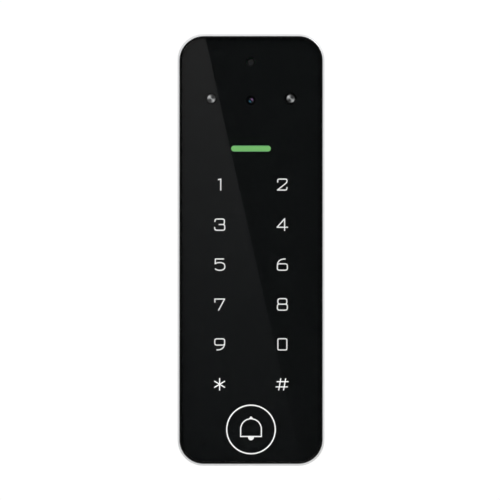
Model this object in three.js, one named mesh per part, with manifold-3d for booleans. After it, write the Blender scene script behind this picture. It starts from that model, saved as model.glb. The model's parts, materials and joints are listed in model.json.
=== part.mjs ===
// Keypad access reader for a wall: a slim metal housing behind a black glass front with
// lit keypad signs, a door bell key, a status light bar, a camera and two white lights.
// The reader hangs on a steel wall plate and is locked to it by one screw from below.
//
// Millimetres, +Z up. Seen from the front, +X is to the right and the front faces -Y.
// The wall is the plane y = 0, and the origin is the centre of the wall plate's back face.

import * as THREE from 'three';
import { mergeVertices } from 'three/addons/utils/BufferGeometryUtils.js';
import Module from 'manifold-3d';

const wasm = await Module();
wasm.setup();

// ---------------------------------------------------------------- driving dimensions

const WIDTH = 59.0;
const HEIGHT = 173.4;
const CORNER_RADIUS = 10.4;
const DEPTH = 22.0;
const WALL = 2.0;
const GLASS_THICKNESS = 2.0;

// Layers from the front to the wall, each as [back face, front face] in y.
const GLASS_Y = [-DEPTH + GLASS_THICKNESS, -DEPTH];
const MASK_Y = [-19.75, -19.95];
const ADHESIVE_Y = [-19.4, -19.7];
const DIFFUSER_Y = [-19.2, -19.7];
const TOUCH_BOARD_Y = [-18.0, -19.1];
const RFID_ANTENNA_Y = [-17.4, -17.7];
const FERRITE_Y = [-17.0, -17.3];
const CAMERA_BOARD_Y = [-14.6, -15.6];
const MAIN_BOARD_Y = [-11.4, -12.6];
const SEAL_Y = [-9.05, -9.55];
const COVER_Y = [-7.0, -9.0];
const PLATE_Y = [0, -1.5];

// Housing: the glass pocket, the hollow for the electronics and the recess at the rear.
const RIM_WIDTH = 0.85;
const RIM_FRONT = -21.6;
const DRAFT = 0.55;
const GLASS_SEAT = -19.35;
const SHELF = -9.6;
const HOUSING_BACK = -0.4;
const POCKET = insetFrom(RIM_WIDTH);
const HOLLOW = { width: 51.6, height: 165.8, radius: 6.9 };
const RECESS = insetFrom(WALL);
const BACK_CHAMFER = { inset: 0.35, run: 0.5 };
const RIM_EDGE = [{ behind: 0.6, inset: 0 }, { behind: 0.2, inset: 0.06 }, { behind: 0, inset: 0.18 }];

function insetFrom(edge) {
  return { width: WIDTH - 2 * edge, height: HEIGHT - 2 * edge, radius: CORNER_RADIUS - edge };
}

// Clearances: around the glass, the thin sheets behind it, the cover and the shanks of screws,
// between stacked pieces, and of a piece that slides.
const GLASS_GAP = 0.3;
const SHEET_GAP = 0.5;
const COVER_GAP = 0.3;
const SCREW_GAP = 0.2;
const STACK_GAP = 0.05;
const SLIDE_GAP = 0.15;
const THREAD_GAP = 0.3;

// How deep a joined piece reaches into the body it belongs to, and how far a cutter overshoots.
const ROOT = 0.5;
const OVERSHOOT = 1.0;

// The gap between the camera board and the main board.
const BOARD_GAP_Y = [MAIN_BOARD_Y[1] - STACK_GAP, CAMERA_BOARD_Y[0] + STACK_GAP];

// Vertices closer than the first are one vertex, and a line whose ends are closer than the second is closed.
const SAME_VERTEX = 1e-4;
const SAME_END = 1e-6;

// The glass: rounding of its front edge and chamfer of its back edge.
const GLASS_EDGE = 0.6;
const GLASS_CHAMFER = 0.15;

// Keypad: two columns and six rows of signs.
const KEY_COLUMN = 12.6;
const KEY_PITCH = 16.05;
const KEY_TOP_ROW = 26.3;
const KEY_SIGNS = [['1', '2'], ['3', '4'], ['5', '6'], ['7', '8'], ['9', '0'], ['*', '#']];
const SIGN_STROKE = 0.55;
const SIGN_DEPTH = 0.1;
const SIGN_Y = [MASK_Y[1] + SIGN_DEPTH, MASK_Y[1] - OVERSHOOT];

// Door bell key at the foot of the glass.
const BELL_Z = -72.1;
const BELL_RING_RADIUS = 9.75;
const BELL_RING_STROKE = 0.62;
const BELL_HALF_WIDTH = 4.15;
const BELL_BASE = -2.83;
const BELL_SPRING_LINE = 0.13;
const BELL_TIP = { halfWidth: 0.9, height: 1.1 };
const BELL_CLAPPER = 1.3;

// What shows through the glass above the keypad.
const BAR = { z: 40.75, width: 15.9, height: 2.4, endRadius: 1.19 };
const LIGHT = { x: 15.95, z: 60.8, window: 2.4 };
const CAMERA = { z: 60.1, window: 1.85 };
const SENSOR = { z: 75.6, window: 1.85 };
const MICROPHONE = { x: -19.1, z: -77.0, radius: 0.75, port: 0.5 };

// Lamps, camera lens, light pipe and their holders, all ending just behind the print mask.
const OPTICS_FRONT = MASK_Y[0] + 0.15;
const LAMP = { radius: 1.1, base: 1.0, dome: 1.05 };
const LAMP_CUP = { outer: 2.9, mouth: 2.0, waist: 1.6, waistHeight: 2.4, throat: 1.3, throatHeight: 1.2 };
const LENS = { radius: 2.1, base: 1.0, dome: 0.5 };
const BARREL = { outer: 3.2, nose: 2.9, bevel: 0.3, mouth: 1.9, bore: 2.3, taper: 0.6 };
const SENSOR_CHIP = { side: 3.0, radius: 0.3, thickness: 0.9, z: SENSOR.z - 0.3 };
const LIGHT_PIPE = { head: 1.35, headHeight: 0.6, neck: 1.05 };

// Sheets and boards behind the glass.
const ADHESIVE_WINDOW = { width: 52.2, height: 166.4, radius: 7.1 };
const BAR_DIFFUSER = { width: BAR.width + 3.0, height: BAR.height + 2.0, radius: 2.0 };
const KEYPAD_DIFFUSER = { width: 49.0, height: 118.5, radius: 6.0, z: -22.75 };
const TOUCH_BOARD = { width: 50.4, height: 130.2, radius: 6.3, z: -17.1 };
const RFID_ANTENNA = { width: 38.0, height: 44.0, radius: 4.0, z: -37.0, track: 4.0, innerRadius: 2.5 };
const FERRITE_MARGIN = 0.2;
const EDGE_LIGHT = { width: 3.0, height: 1.2, radius: 0.15, keypadZ: 37.3, barZ: 44.0 };
const MIC_BOOT = { outer: 2.3, inner: 0.9, clearance: 0.3 };
const MIC_CAN = { width: 3.0, height: 2.2, radius: 0.3, thickness: 1.0, aside: 0.8, up: 0.5 };
const CAMERA_BOARD = { width: 37.2, height: 30.0, radius: 1.5, z: 67.0 };
const CAMERA_MODULE = { side: 8.5, radius: 0.6, thickness: 1.8 };
const CAMERA_CONNECTOR = { width: 12.0, height: 3.4, radius: 0.4, z: 56.0 };
const TOUCH_CONNECTOR = { width: 14.0, height: 4.0, radius: 0.4, z: 27.0 };
const CAMERA_SPACER = { x: 16.4, z: 70.5, radius: 1.9 };
const MAIN_BOARD = { width: 50.8, height: 148.0, radius: 2.0 };

// What stands on the front of the main board.
const CHIP_RADIUS = 0.3;
const PROCESSOR = { width: 12.0, height: 12.0, thickness: 1.2, x: 0, z: -30.0 };
const RELAY = { width: 7.6, height: 10.6, thickness: 4.7, x: 13.0, z: 8.0 };
const RADIO_MODULE = { width: 18.0, height: 16.0, thickness: 0.8, x: -11.0, z: 39.0 };
const RADIO_SHIELD = { width: 15.0, height: 11.0, radius: 0.6, thickness: 2.0, x: -11.0, z: 37.5 };
const CAPACITOR = {
  left: -15.0, right: -8.5, z: 8.0, height: 4.4, can: 2.5, canFoot: 1.3, bevel: 0.2,
  base: 2.6, baseHeight: 0.9, groove: 2.35, grooveHeight: 1.1,
};

// Loudspeaker, and the slots and mesh in the bottom wall under it.
const SPEAKER = { width: 28.0, height: 18.0, radius: 2.0, z: -73.4, back: -13.1, front: -17.6 };
const SOUND_SLOT = { count: 7, pitch: 3.2, width: 1.6, depth: 3.0, y: -15.3 };
const SPEAKER_MESH = { width: 25.0, depth: 4.4, thickness: 0.35 };

// Wiring headers: poles in each row, and their places. Each pole has a socket for a wire and,
// above it, a slot for the tip of a screwdriver that lets the wire go.
const HEADER_PITCH = 2.54;
const HEADER = { height: 7.0, standing: 5.2, radius: 0.5, ends: 1.4 };
const WIRE_SOCKET = { halfWidth: 0.85, halfHeight: 1.3, depth: 3.0, up: -1.2 };
const RELEASE_SLOT = { halfWidth: 0.6, halfHeight: 0.6, depth: 0.8, up: 2.0 };
const HEADER_WINDOW = { gap: 0.5, radius: 0.6 };
const POWER_HEADER = { pins: 10, z: -13.6 };
const DATA_HEADER = { pins: 8, z: -25.6 };

// Screws: shank radius, head radius and head height.
const M3 = { shank: 1.5, head: 2.75, headHeight: 1.8 };
const M25 = { shank: 1.1, head: 2.2, headHeight: 1.4 };

// The form of a pan head screw: shares of its shank and head radius, and the heights of its ends.
const THREAD_CORE = 0.85;
const SCREW_POINT = { share: 0.5, height: 0.5 };
const HEAD_CROWN = { share: 0.7, height: 0.5 };
const CROSS_RECESS = { share: 0.5, depthShare: 0.55, halfWidth: 0.25 };

const COVER_SCREW = { x: 22.6, z: 79.7, bossRadius: 3.0, bossFront: -17.9, tip: -14.0 };
const BOARD_SCREW = { x: 23.0, z: 58.0, bossRadius: 2.8, bossFront: -17.6, tip: -16.0 };

// Wall plate, with the hooks that carry the reader and the tab that takes the locking screw.
const PLATE = { width: 50.0, bottom: -75.5, top: 80.0, radius: 4.0 };
const CABLE_WINDOW = { width: 32.0, bottom: -33.0, top: -6.0, radius: 3.0 };
const HOOK = { x: 14.0, z: [56.0, -44.0], width: 8.0, thickness: 1.5, reach: 3.5, lip: 5.0 };
const TAB = { width: 12.0, thickness: 1.5, front: -6.2 };
const WALL_SCREW_SLOTS = { width: 9.0, height: 4.2, z: [22.15, 10.5, -49.5, -61.15] };
const CORNER_HOLES = { x: 18.0, z: [70.0, -66.0], radius: 2.1 };
const HOOK_WINDOW = { width: 9.0, height: 7.0, radius: 1.0, rise: 5.5 };

// The cover's bridges behind the hooks, and the thick place that the locking screw passes.
const KEEPER = { gap: 0.9, post: 1.6, height: 2.6, bar: 1.4, back: -1.8, rise: 0.1 };
const SEAL_WIDTH = 1.0;
const LOCK = { y: -3.9, length: 12.4, socket: 1.15, socketDepth: 1.1 };
const LOCK_BOSS = { halfWidth: 5.0, front: -6.6, back: -1.7, rise: 1.8 };

// Moving pieces other than the reader itself.
const TAMPER = { x: -17.0, z: 36.0, radius: 1.5, front: -9.6, window: 3.3 };
const TAMPER_COLLAR = { radius: 2.4, front: -6.5, thickness: 0.8, fillet: 0.2 };
const TAMPER_TIP = { radius: 0.9, height: 0.5 };
const TAMPER_SWITCH = { side: 6.4, radius: 0.6, height: 2.0, floor: 0.2 };
const TAMPER_SPRING = { coil: 2.05, wire: 0.2, turns: 2.5, wireSides: 6, steps: 32 };
const RESET = { y: -14.4, z: -67.8, radius: 0.9, tipRadius: 0.81, back: 22.7, front: 25.1 };
const RESET_SWITCH = { back: 19.4, front: 23.4, frontY: -16.2, halfHeight: 2.0 };
const PINHOLE = { radius: 0.65, mouth: 1.5, sink: 0.9, past: 0.3 };

// ---------------------------------------------------------------- materials

function finish(color, roughness, metalness, extra = {}) {
  return new THREE.MeshStandardMaterial({ color, roughness, metalness, ...extra });
}

const MATERIALS = {
  satinMetal: finish(0xc4c7ca, 0.32, 1.0),
  blackGlass: finish(0x0c0d0e, 0.05, 0.0, { transparent: true, opacity: 0.35 }),
  blackInk: finish(0x07080a, 0.45, 0.0),
  adhesive: finish(0x18191b, 0.8, 0.0),
  whiteDiffuser: finish(0xf4f5f2, 0.5, 0.0, { emissive: 0xf4f5f2, emissiveIntensity: 0.6 }),
  greenDiffuser: finish(0x71b565, 0.5, 0.0, { emissive: 0x71b565, emissiveIntensity: 0.6 }),
  circuitBoard: finish(0x14492f, 0.5, 0.1),
  ledPackage: finish(0xf2efe2, 0.4, 0.0),
  blackPlastic: finish(0x17181a, 0.6, 0.0),
  rubber: finish(0x101112, 0.9, 0.0),
  copper: finish(0xb87333, 0.35, 1.0),
  ferrite: finish(0x3a3b3e, 0.8, 0.1),
  clearLens: finish(0xe8eef2, 0.05, 0.0, { transparent: true, opacity: 0.5 }),
  cameraLens: finish(0x2c2a4a, 0.05, 0.0, { transparent: true, opacity: 0.7 }),
  brightCan: finish(0xc9cbcd, 0.3, 1.0),
  steel: finish(0xb4b6b8, 0.4, 1.0),
  relayPlastic: finish(0x1d2a3c, 0.5, 0.0),
  greenPlastic: finish(0x2d7a46, 0.55, 0.0),
  wovenMesh: finish(0x1a1a1a, 0.8, 0.2),
};

// ---------------------------------------------------------------- shapes and solids

// A rounded rectangle in the XZ plane, about the point (x, z).
function roundedRectangle(width, height, radius, x = 0, z = 0, Outline = THREE.Shape) {
  const right = x + width / 2;
  const left = x - width / 2;
  const top = z + height / 2;
  const bottom = z - height / 2;
  const quarter = Math.PI / 2;
  const outline = new Outline();
  outline.moveTo(right, bottom + radius);
  outline.lineTo(right, top - radius);
  outline.absarc(right - radius, top - radius, radius, 0, quarter);
  outline.lineTo(left + radius, top);
  outline.absarc(left + radius, top - radius, radius, quarter, 2 * quarter);
  outline.lineTo(left, bottom + radius);
  outline.absarc(left + radius, bottom + radius, radius, 2 * quarter, 3 * quarter);
  outline.lineTo(right - radius, bottom);
  outline.absarc(right - radius, bottom + radius, radius, 3 * quarter, 4 * quarter);
  return outline;
}

function rectangleHole(width, height, radius, x, z) {
  return roundedRectangle(width, height, radius, x, z, THREE.Path);
}

// Points on a circle in the XZ plane, for an outline or a hole.
function circlePoints(radius, x, z, sides) {
  return Array.from({ length: sides }, (_, i) => {
    const angle = (2 * Math.PI * i) / sides;
    return new THREE.Vector2(x + radius * Math.cos(angle), z + radius * Math.sin(angle));
  });
}

function circleHole(radius, x, z, sides = 16) {
  return new THREE.Path(circlePoints(radius, x, z, sides));
}

function circle(radius, x = 0, z = 0, sides = 16) {
  return new THREE.Shape(circlePoints(radius, x, z, sides));
}

// A plate between two depths, from an outline drawn in the XZ plane.
function plate(outline, [back, front], arcSteps = 2) {
  const geometry = new THREE.ExtrudeGeometry(outline, {
    depth: back - front,
    bevelEnabled: false,
    curveSegments: arcSteps,
  });
  geometry.rotateX(Math.PI / 2);
  geometry.translate(0, back, 0);
  return geometry;
}

// A rounded block whose sides follow a profile: a list of [y, inset] from back to front.
function profiledBlock(width, height, radius, profile, arcSteps = 4) {
  const last = profile.length - 1;
  const geometry = new THREE.ExtrudeGeometry(roundedRectangle(width, height, radius), {
    depth: last,
    steps: last,
    bevelEnabled: false,
    curveSegments: arcSteps,
  });
  const position = geometry.attributes.position;
  const coreX = width / 2 - radius;
  const coreZ = height / 2 - radius;
  for (let i = 0; i < position.count; i += 1) {
    const x = position.getX(i);
    const z = position.getY(i);
    const [y, inset] = profile[Math.round(position.getZ(i))];
    const nearX = THREE.MathUtils.clamp(x, -coreX, coreX);
    const nearZ = THREE.MathUtils.clamp(z, -coreZ, coreZ);
    const shrink = (radius - inset) / radius;
    position.setXYZ(i, nearX + (x - nearX) * shrink, y, nearZ + (z - nearZ) * shrink);
  }
  return geometry;
}

function box([x0, x1], [y0, y1], [z0, z1]) {
  const geometry = new THREE.BoxGeometry(Math.abs(x1 - x0), Math.abs(y1 - y0), Math.abs(z1 - z0));
  geometry.translate((x0 + x1) / 2, (y0 + y1) / 2, (z0 + z1) / 2);
  return geometry;
}

function around(centre, halfSize) {
  return [centre - halfSize, centre + halfSize];
}

function cylinderY(radius, [y0, y1], x, z, sides = 16) {
  const geometry = new THREE.CylinderGeometry(radius, radius, Math.abs(y1 - y0), sides);
  geometry.translate(x, (y0 + y1) / 2, z);
  return geometry;
}

function cylinderZ(radius, [z0, z1], x, y, sides = 16) {
  const geometry = new THREE.CylinderGeometry(radius, radius, Math.abs(z1 - z0), sides);
  geometry.rotateX(Math.PI / 2);
  geometry.translate(x, y, (z0 + z1) / 2);
  return geometry;
}

// A cylinder or cone along X, from radius r0 at x0 to radius r1 at x1.
function coneX(r0, r1, [x0, x1], y, z, sides = 12) {
  const geometry = new THREE.CylinderGeometry(r1, r0, x1 - x0, sides);
  geometry.rotateZ(-Math.PI / 2);
  geometry.translate((x0 + x1) / 2, y, z);
  return geometry;
}

// A body of revolution about a Y axis at (x, z), from [radius, y] points in either direction.
function turned(points, x, z, sides = 16) {
  const profile = points.map(([radius, y]) => new THREE.Vector2(radius, y));
  if (THREE.ShapeUtils.area(profile) < 0) profile.reverse();
  const geometry = new THREE.LatheGeometry(profile, sides);
  geometry.translate(x, 0, z);
  return geometry;
}

// A closed geometry as a solid for joining and cutting. A shape that is one already stays as it is.
function solid(geometry) {
  if (!geometry.isBufferGeometry) return geometry;
  const bare = new THREE.BufferGeometry();
  bare.setAttribute('position', geometry.attributes.position.clone());
  bare.setIndex(geometry.index ? geometry.index.clone() : null);
  const merged = mergeVertices(bare, SAME_VERTEX);
  const corners = merged.index.array;
  const triangles = [];
  for (let i = 0; i < corners.length; i += 3) {
    const [a, b, c] = [corners[i], corners[i + 1], corners[i + 2]];
    if (a !== b && b !== c && c !== a) triangles.push(a, b, c);
  }
  return new wasm.Manifold(new wasm.Mesh({
    numProp: 3,
    vertProperties: new Float32Array(merged.attributes.position.array),
    triVerts: new Uint32Array(triangles),
  }));
}

function joined(first, ...others) {
  return others.reduce((sum, piece) => sum.add(solid(piece)), solid(first));
}

function cut(body, ...tools) {
  return tools.reduce((rest, tool) => rest.subtract(solid(tool)), solid(body));
}

function toGeometry(body) {
  const mesh = body.getMesh();
  const geometry = new THREE.BufferGeometry();
  geometry.setAttribute('position', new THREE.BufferAttribute(mesh.vertProperties, mesh.numProp));
  geometry.setIndex(new THREE.BufferAttribute(mesh.triVerts, 1));
  geometry.computeVertexNormals();
  return geometry;
}

// ---------------------------------------------------------------- signs

// Centre-lines of the signs about the middle of the key. Each stroke starts at a point and
// goes on by lines, [x, z], and by curves through a control point, [control x, control z, x, z].
const SIGN_LINES = {
  1: [
    [[-0.5, 1.95], [0.45, 2.2]],
    [[0.45, 2.2], [0.45, -2.2]],
  ],
  2: [
    [
      [-1.85, 1.0], [-1.85, 1.6], [-1.85, 2.2, -1.2, 2.2], [1.2, 2.2], [1.85, 2.2, 1.85, 1.5],
      [1.85, 0.9, 1.4, 0.5], [-1.95, -2.2],
    ],
    [[-1.95, -2.2], [1.2, -2.2], [1.85, -2.2, 1.85, -1.2]],
  ],
  3: [
    [
      [-1.9, 1.2], [-1.9, 2.2, -1.1, 2.2], [1.1, 2.2], [1.9, 2.2, 1.9, 1.4], [1.9, 0.9],
      [1.9, 0.0, 1.1, 0.0], [-0.2, 0.0],
    ],
    [
      [1.1, 0.0], [2.05, 0.0, 2.05, -0.8], [2.05, -1.5], [2.05, -2.3, 1.3, -2.3], [-1.2, -2.3],
      [-2.0, -2.3, -2.0, -1.2],
    ],
  ],
  4: [
    [[0.9, 2.3], [-2.1, -1.1]],
    [[-2.1, -1.1], [2.1, -1.1]],
    [[0.9, 2.3], [0.9, -2.4]],
  ],
  5: [
    [[1.6, 2.2], [-1.7, 2.2]],
    [[-1.7, 2.2], [-1.8, 0.3]],
    [
      [-1.8, 0.3], [-1.0, 0.75, 0.0, 0.75], [2.1, 0.75, 2.1, -0.8], [2.1, -2.35, 0.0, -2.35],
      [-1.1, -2.35, -1.7, -1.8],
    ],
  ],
  6: [
    [
      [1.1, 2.2], [-2.0, 2.2, -2.0, -0.6], [-2.0, -1.5], [-2.0, -2.3, -1.2, -2.3], [1.1, -2.3],
      [2.0, -2.3, 2.0, -1.5], [2.0, -0.6],
    ],
    [[2.0, -0.6], [2.0, 0.25, 1.1, 0.25], [-1.2, 0.25], [-1.7, 0.2, -1.95, -0.2]],
  ],
  7: [
    [[-1.9, 0.9], [-1.9, 2.15]],
    [[-1.9, 2.15], [2.0, 2.15]],
    [[2.0, 2.15], [-0.4, -2.3]],
  ],
  8: [
    [
      [-0.85, 0.1], [-1.8, 0.1, -1.8, 0.95], [-1.8, 1.45], [-1.8, 2.3, -0.85, 2.3], [0.85, 2.3],
      [1.8, 2.3, 1.8, 1.45], [1.8, 0.95], [1.8, 0.1, 0.85, 0.1], [-0.85, 0.1],
    ],
    [
      [-1.1, 0.1], [-2.0, 0.1, -2.0, -0.8], [-2.0, -1.4], [-2.0, -2.3, -1.1, -2.3], [1.1, -2.3],
      [2.0, -2.3, 2.0, -1.4], [2.0, -0.8], [2.0, 0.1, 1.1, 0.1], [-1.1, 0.1],
    ],
  ],
  9: [
    [
      [-1.1, -2.25], [2.0, -2.25, 2.0, 0.6], [2.0, 1.4], [2.0, 2.2, 1.2, 2.2], [-1.1, 2.2],
      [-1.95, 2.2, -1.95, 1.4], [-1.95, 0.5],
    ],
    [[-1.95, 0.5], [-1.95, -0.3, -1.1, -0.3], [1.2, -0.3], [1.7, -0.25, 1.95, 0.15]],
  ],
  0: [
    [
      [-1.2, -2.25], [1.2, -2.25], [1.8, -2.25, 1.8, -1.65], [1.8, 1.65], [1.8, 2.25, 1.2, 2.25],
      [-1.2, 2.25], [-1.8, 2.25, -1.8, 1.65], [-1.8, -1.65], [-1.8, -2.25, -1.2, -2.25],
    ],
  ],
  '*': [
    [[0, 2.3], [0, -2.3]],
    [[-2.0, 1.2], [2.0, -1.2]],
    [[-2.0, -1.2], [2.0, 1.2]],
  ],
  '#': [
    [[-0.65, 2.2], [-1.45, -2.25]],
    [[1.3, 2.2], [0.5, -2.25]],
    [[-2.1, 1.05], [2.3, 1.05]],
    [[-2.5, -1.05], [2.0, -1.05]],
  ],
};

function strokePoints([start, ...moves], curveSteps) {
  const line = new THREE.Path();
  line.moveTo(...start);
  for (const move of moves) {
    if (move.length === 2) line.lineTo(...move);
    else line.quadraticCurveTo(...move);
  }
  return line.getPoints(curveSteps);
}

// A line moved sideways by a distance, with mitred corners.
function offsetLine(line, distance, closed) {
  const count = line.length;
  return line.map((point, i) => {
    const isFirst = i === 0 && !closed;
    const isLast = i === count - 1 && !closed;
    const before = isFirst ? null : point.clone().sub(line[(i + count - 1) % count]).normalize();
    const after = isLast ? null : line[(i + 1) % count].clone().sub(point).normalize();
    const entering = before ?? after;
    const leaving = after ?? before;
    const along = entering.clone().add(leaving).normalize();
    const reach = distance / along.dot(leaving);
    return new THREE.Vector2(point.x - along.y * reach, point.y + along.x * reach);
  });
}

// Points on a half circle about an end of a stroke, from one side to the other.
function roundEnd(centre, from, steps = 3) {
  const arc = [];
  for (let step = 1; step < steps; step += 1) {
    arc.push(from.clone().rotateAround(centre, (-Math.PI * step) / steps));
  }
  return arc;
}

// An even stroke along a centre-line as a solid: round at its ends, or a closed loop.
function strokeSolid(points, width, depth) {
  const first = points[0];
  const last = points[points.length - 1];
  const closed = first.distanceTo(last) < SAME_END;
  const line = closed ? points.slice(0, -1) : points;
  const left = offsetLine(line, width / 2, closed);
  const right = offsetLine(line, -width / 2, closed);
  if (closed) {
    const leftIsOuter = Math.abs(THREE.ShapeUtils.area(left)) > Math.abs(THREE.ShapeUtils.area(right));
    const outer = plate(new THREE.Shape(leftIsOuter ? left : right), depth);
    const through = [depth[0] + OVERSHOOT, depth[1] - OVERSHOOT];
    const inner = plate(new THREE.Shape(leftIsOuter ? right : left), through);
    return cut(outer, inner);
  }
  const lastEnd = roundEnd(last, left[left.length - 1]);
  const firstEnd = roundEnd(first, right[0]);
  return solid(plate(new THREE.Shape([...left, ...lastEnd, ...right.reverse(), ...firstEnd]), depth));
}

// What cuts a sign into the front of the print mask, about the middle of its key.
function signTools(lines, x, z) {
  return lines.map((line) => strokeSolid(strokePoints(line, 2), SIGN_STROKE, SIGN_Y).translate([x, 0, z]));
}

function bellTools() {
  const half = SIGN_STROKE / 2;
  const ring = circle(BELL_RING_RADIUS + BELL_RING_STROKE / 2, 0, 0, 40);
  ring.holes.push(circleHole(BELL_RING_RADIUS - BELL_RING_STROKE / 2, 0, 0, 40));
  const bell = domeShape(BELL_HALF_WIDTH + half, BELL_BASE - half);
  bell.holes.push(domeShape(BELL_HALF_WIDTH - half, BELL_BASE + half));
  const crown = BELL_SPRING_LINE + BELL_HALF_WIDTH;
  const tip = new THREE.Shape([
    new THREE.Vector2(-BELL_TIP.halfWidth, crown),
    new THREE.Vector2(BELL_TIP.halfWidth, crown),
    new THREE.Vector2(0, crown + BELL_TIP.height),
  ]);
  const clapper = new THREE.Shape();
  clapper.absarc(0, BELL_BASE, BELL_CLAPPER, Math.PI, 2 * Math.PI);
  const tools = [plate(ring, SIGN_Y), plate(bell, SIGN_Y, 7), plate(tip, SIGN_Y), plate(clapper, SIGN_Y)];
  return tools.map((tool) => tool.translate(0, 0, BELL_Z));
}

// A dome on straight sides: the outline of the bell.
function domeShape(halfWidth, base) {
  const outline = new THREE.Shape();
  outline.moveTo(halfWidth, base);
  outline.absarc(0, BELL_SPRING_LINE, halfWidth, 0, Math.PI);
  outline.lineTo(-halfWidth, base);
  outline.closePath();
  return outline;
}

// ---------------------------------------------------------------- wall plate

function wallPlate() {
  const height = PLATE.top - PLATE.bottom;
  const middle = (PLATE.top + PLATE.bottom) / 2;
  const outline = roundedRectangle(PLATE.width, height, PLATE.radius, 0, middle);
  const windowHeight = CABLE_WINDOW.top - CABLE_WINDOW.bottom;
  const windowMiddle = (CABLE_WINDOW.top + CABLE_WINDOW.bottom) / 2;
  outline.holes.push(rectangleHole(CABLE_WINDOW.width, windowHeight, CABLE_WINDOW.radius, 0, windowMiddle));
  for (const z of WALL_SCREW_SLOTS.z) {
    const { width, height: slotHeight } = WALL_SCREW_SLOTS;
    outline.holes.push(rectangleHole(width, slotHeight, slotHeight / 2, 0, z));
  }
  for (const side of [-1, 1]) {
    for (const z of CORNER_HOLES.z) {
      outline.holes.push(circleHole(CORNER_HOLES.radius, side * CORNER_HOLES.x, z));
    }
    for (const z of HOOK.z) {
      const { width, height: windowTall, radius, rise } = HOOK_WINDOW;
      outline.holes.push(rectangleHole(width, windowTall, radius, side * HOOK.x, z + rise));
    }
  }
  const pieces = [];
  const root = PLATE_Y[1] + ROOT;
  const hookFront = PLATE_Y[1] - HOOK.reach;
  for (const z of HOOK.z) {
    for (const side of [-1, 1]) {
      const across = around(side * HOOK.x, HOOK.width / 2);
      const legTop = z + HOOK.thickness;
      pieces.push(box(across, [hookFront, root], [z, legTop]));
      pieces.push(box(across, [hookFront, hookFront + HOOK.thickness], [z, legTop + HOOK.lip]));
    }
  }
  const tabSpan = [PLATE.bottom, PLATE.bottom + TAB.thickness];
  pieces.push(box(around(0, TAB.width / 2), [TAB.front, root], tabSpan));
  const body = joined(plate(outline, PLATE_Y), ...pieces);
  const holeSpan = [tabSpan[0] - OVERSHOOT, tabSpan[1] + OVERSHOOT];
  const lockHole = cylinderZ(M3.shank + SLIDE_GAP, holeSpan, 0, LOCK.y);
  return cut(body, lockHole);
}

// ---------------------------------------------------------------- housing

function frontHousing() {
  const outer = profiledBlock(WIDTH, HEIGHT, CORNER_RADIUS, [
    [HOUSING_BACK, BACK_CHAMFER.inset],
    [HOUSING_BACK - BACK_CHAMFER.run, 0],
    ...RIM_EDGE.map(({ behind, inset }) => [RIM_FRONT + behind, DRAFT + inset]),
  ]);
  const pocket = roundedRectangle(POCKET.width, POCKET.height, POCKET.radius);
  const hollow = roundedRectangle(HOLLOW.width, HOLLOW.height, HOLLOW.radius);
  const recess = roundedRectangle(RECESS.width, RECESS.height, RECESS.radius);
  let body = cut(
    outer,
    plate(pocket, [GLASS_SEAT, RIM_FRONT - OVERSHOOT], 4),
    plate(hollow, [SHELF + OVERSHOOT, GLASS_SEAT - OVERSHOOT], 3),
    plate(recess, [HOUSING_BACK + OVERSHOOT, SHELF], 3),
  );
  for (const [x, z] of corners(COVER_SCREW)) {
    body = joined(body, cylinderY(COVER_SCREW.bossRadius, [SHELF, COVER_SCREW.bossFront], x, z, 20));
    body = cut(body, cylinderY(M3.shank, [SHELF + OVERSHOOT, COVER_SCREW.tip - OVERSHOOT], x, z, 12));
  }
  for (const [x, z] of corners(BOARD_SCREW)) {
    const span = [MAIN_BOARD_Y[1] - STACK_GAP, BOARD_SCREW.bossFront];
    const boreSpan = [span[0] + OVERSHOOT, BOARD_SCREW.tip - OVERSHOOT];
    const wallSide = Math.sign(x) * (HOLLOW.width / 2 + ROOT);
    const web = box([x, wallSide], span, around(z, BOARD_SCREW.bossRadius));
    body = joined(body, cylinderY(BOARD_SCREW.bossRadius, span, x, z), web);
    body = cut(body, cylinderY(M25.shank + SLIDE_GAP, boreSpan, x, z, 12));
  }
  body = withLockBoss(body);
  return cut(body, ...soundSlots(), ...resetPinhole());
}

// The thick place in the bottom wall that the locking screw passes.
function withLockBoss(body) {
  const recessBottom = -RECESS.height / 2;
  const bossTop = recessBottom + LOCK_BOSS.rise;
  const under = -HEIGHT / 2 - OVERSHOOT;
  const depth = [LOCK_BOSS.front, LOCK_BOSS.back];
  const boss = box(around(0, LOCK_BOSS.halfWidth), depth, [recessBottom - ROOT, bossTop]);
  return cut(
    joined(body, boss),
    cylinderZ(M3.shank + THREAD_GAP, [under, bossTop + OVERSHOOT], 0, LOCK.y),
    cylinderZ(M3.head + THREAD_GAP, [under, recessBottom + STACK_GAP], 0, LOCK.y, 24),
  );
}

// Slots under the loudspeaker.
function soundSlots() {
  const { count, pitch, width, depth, y } = SOUND_SLOT;
  const through = [-HEIGHT / 2 - OVERSHOOT, -HOLLOW.height / 2 + OVERSHOOT];
  return Array.from({ length: count }, (_, i) => {
    const x = (i - (count - 1) / 2) * pitch;
    return box(around(x, width / 2), around(y, depth / 2), through);
  });
}

// The hole for a pin in the right side, with a sunk mouth, in line with the reset button.
function resetPinhole() {
  const { radius, mouth, sink, past } = PINHOLE;
  const outside = WIDTH / 2;
  return [
    coneX(radius, radius, [HOLLOW.width / 2 - OVERSHOOT, outside + OVERSHOOT], RESET.y, RESET.z),
    coneX(radius, mouth, [outside - sink, outside + past], RESET.y, RESET.z),
  ];
}

function corners({ x, z }) {
  return [[-x, z], [x, z], [-x, -z], [x, -z]];
}

// ---------------------------------------------------------------- front stack

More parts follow.
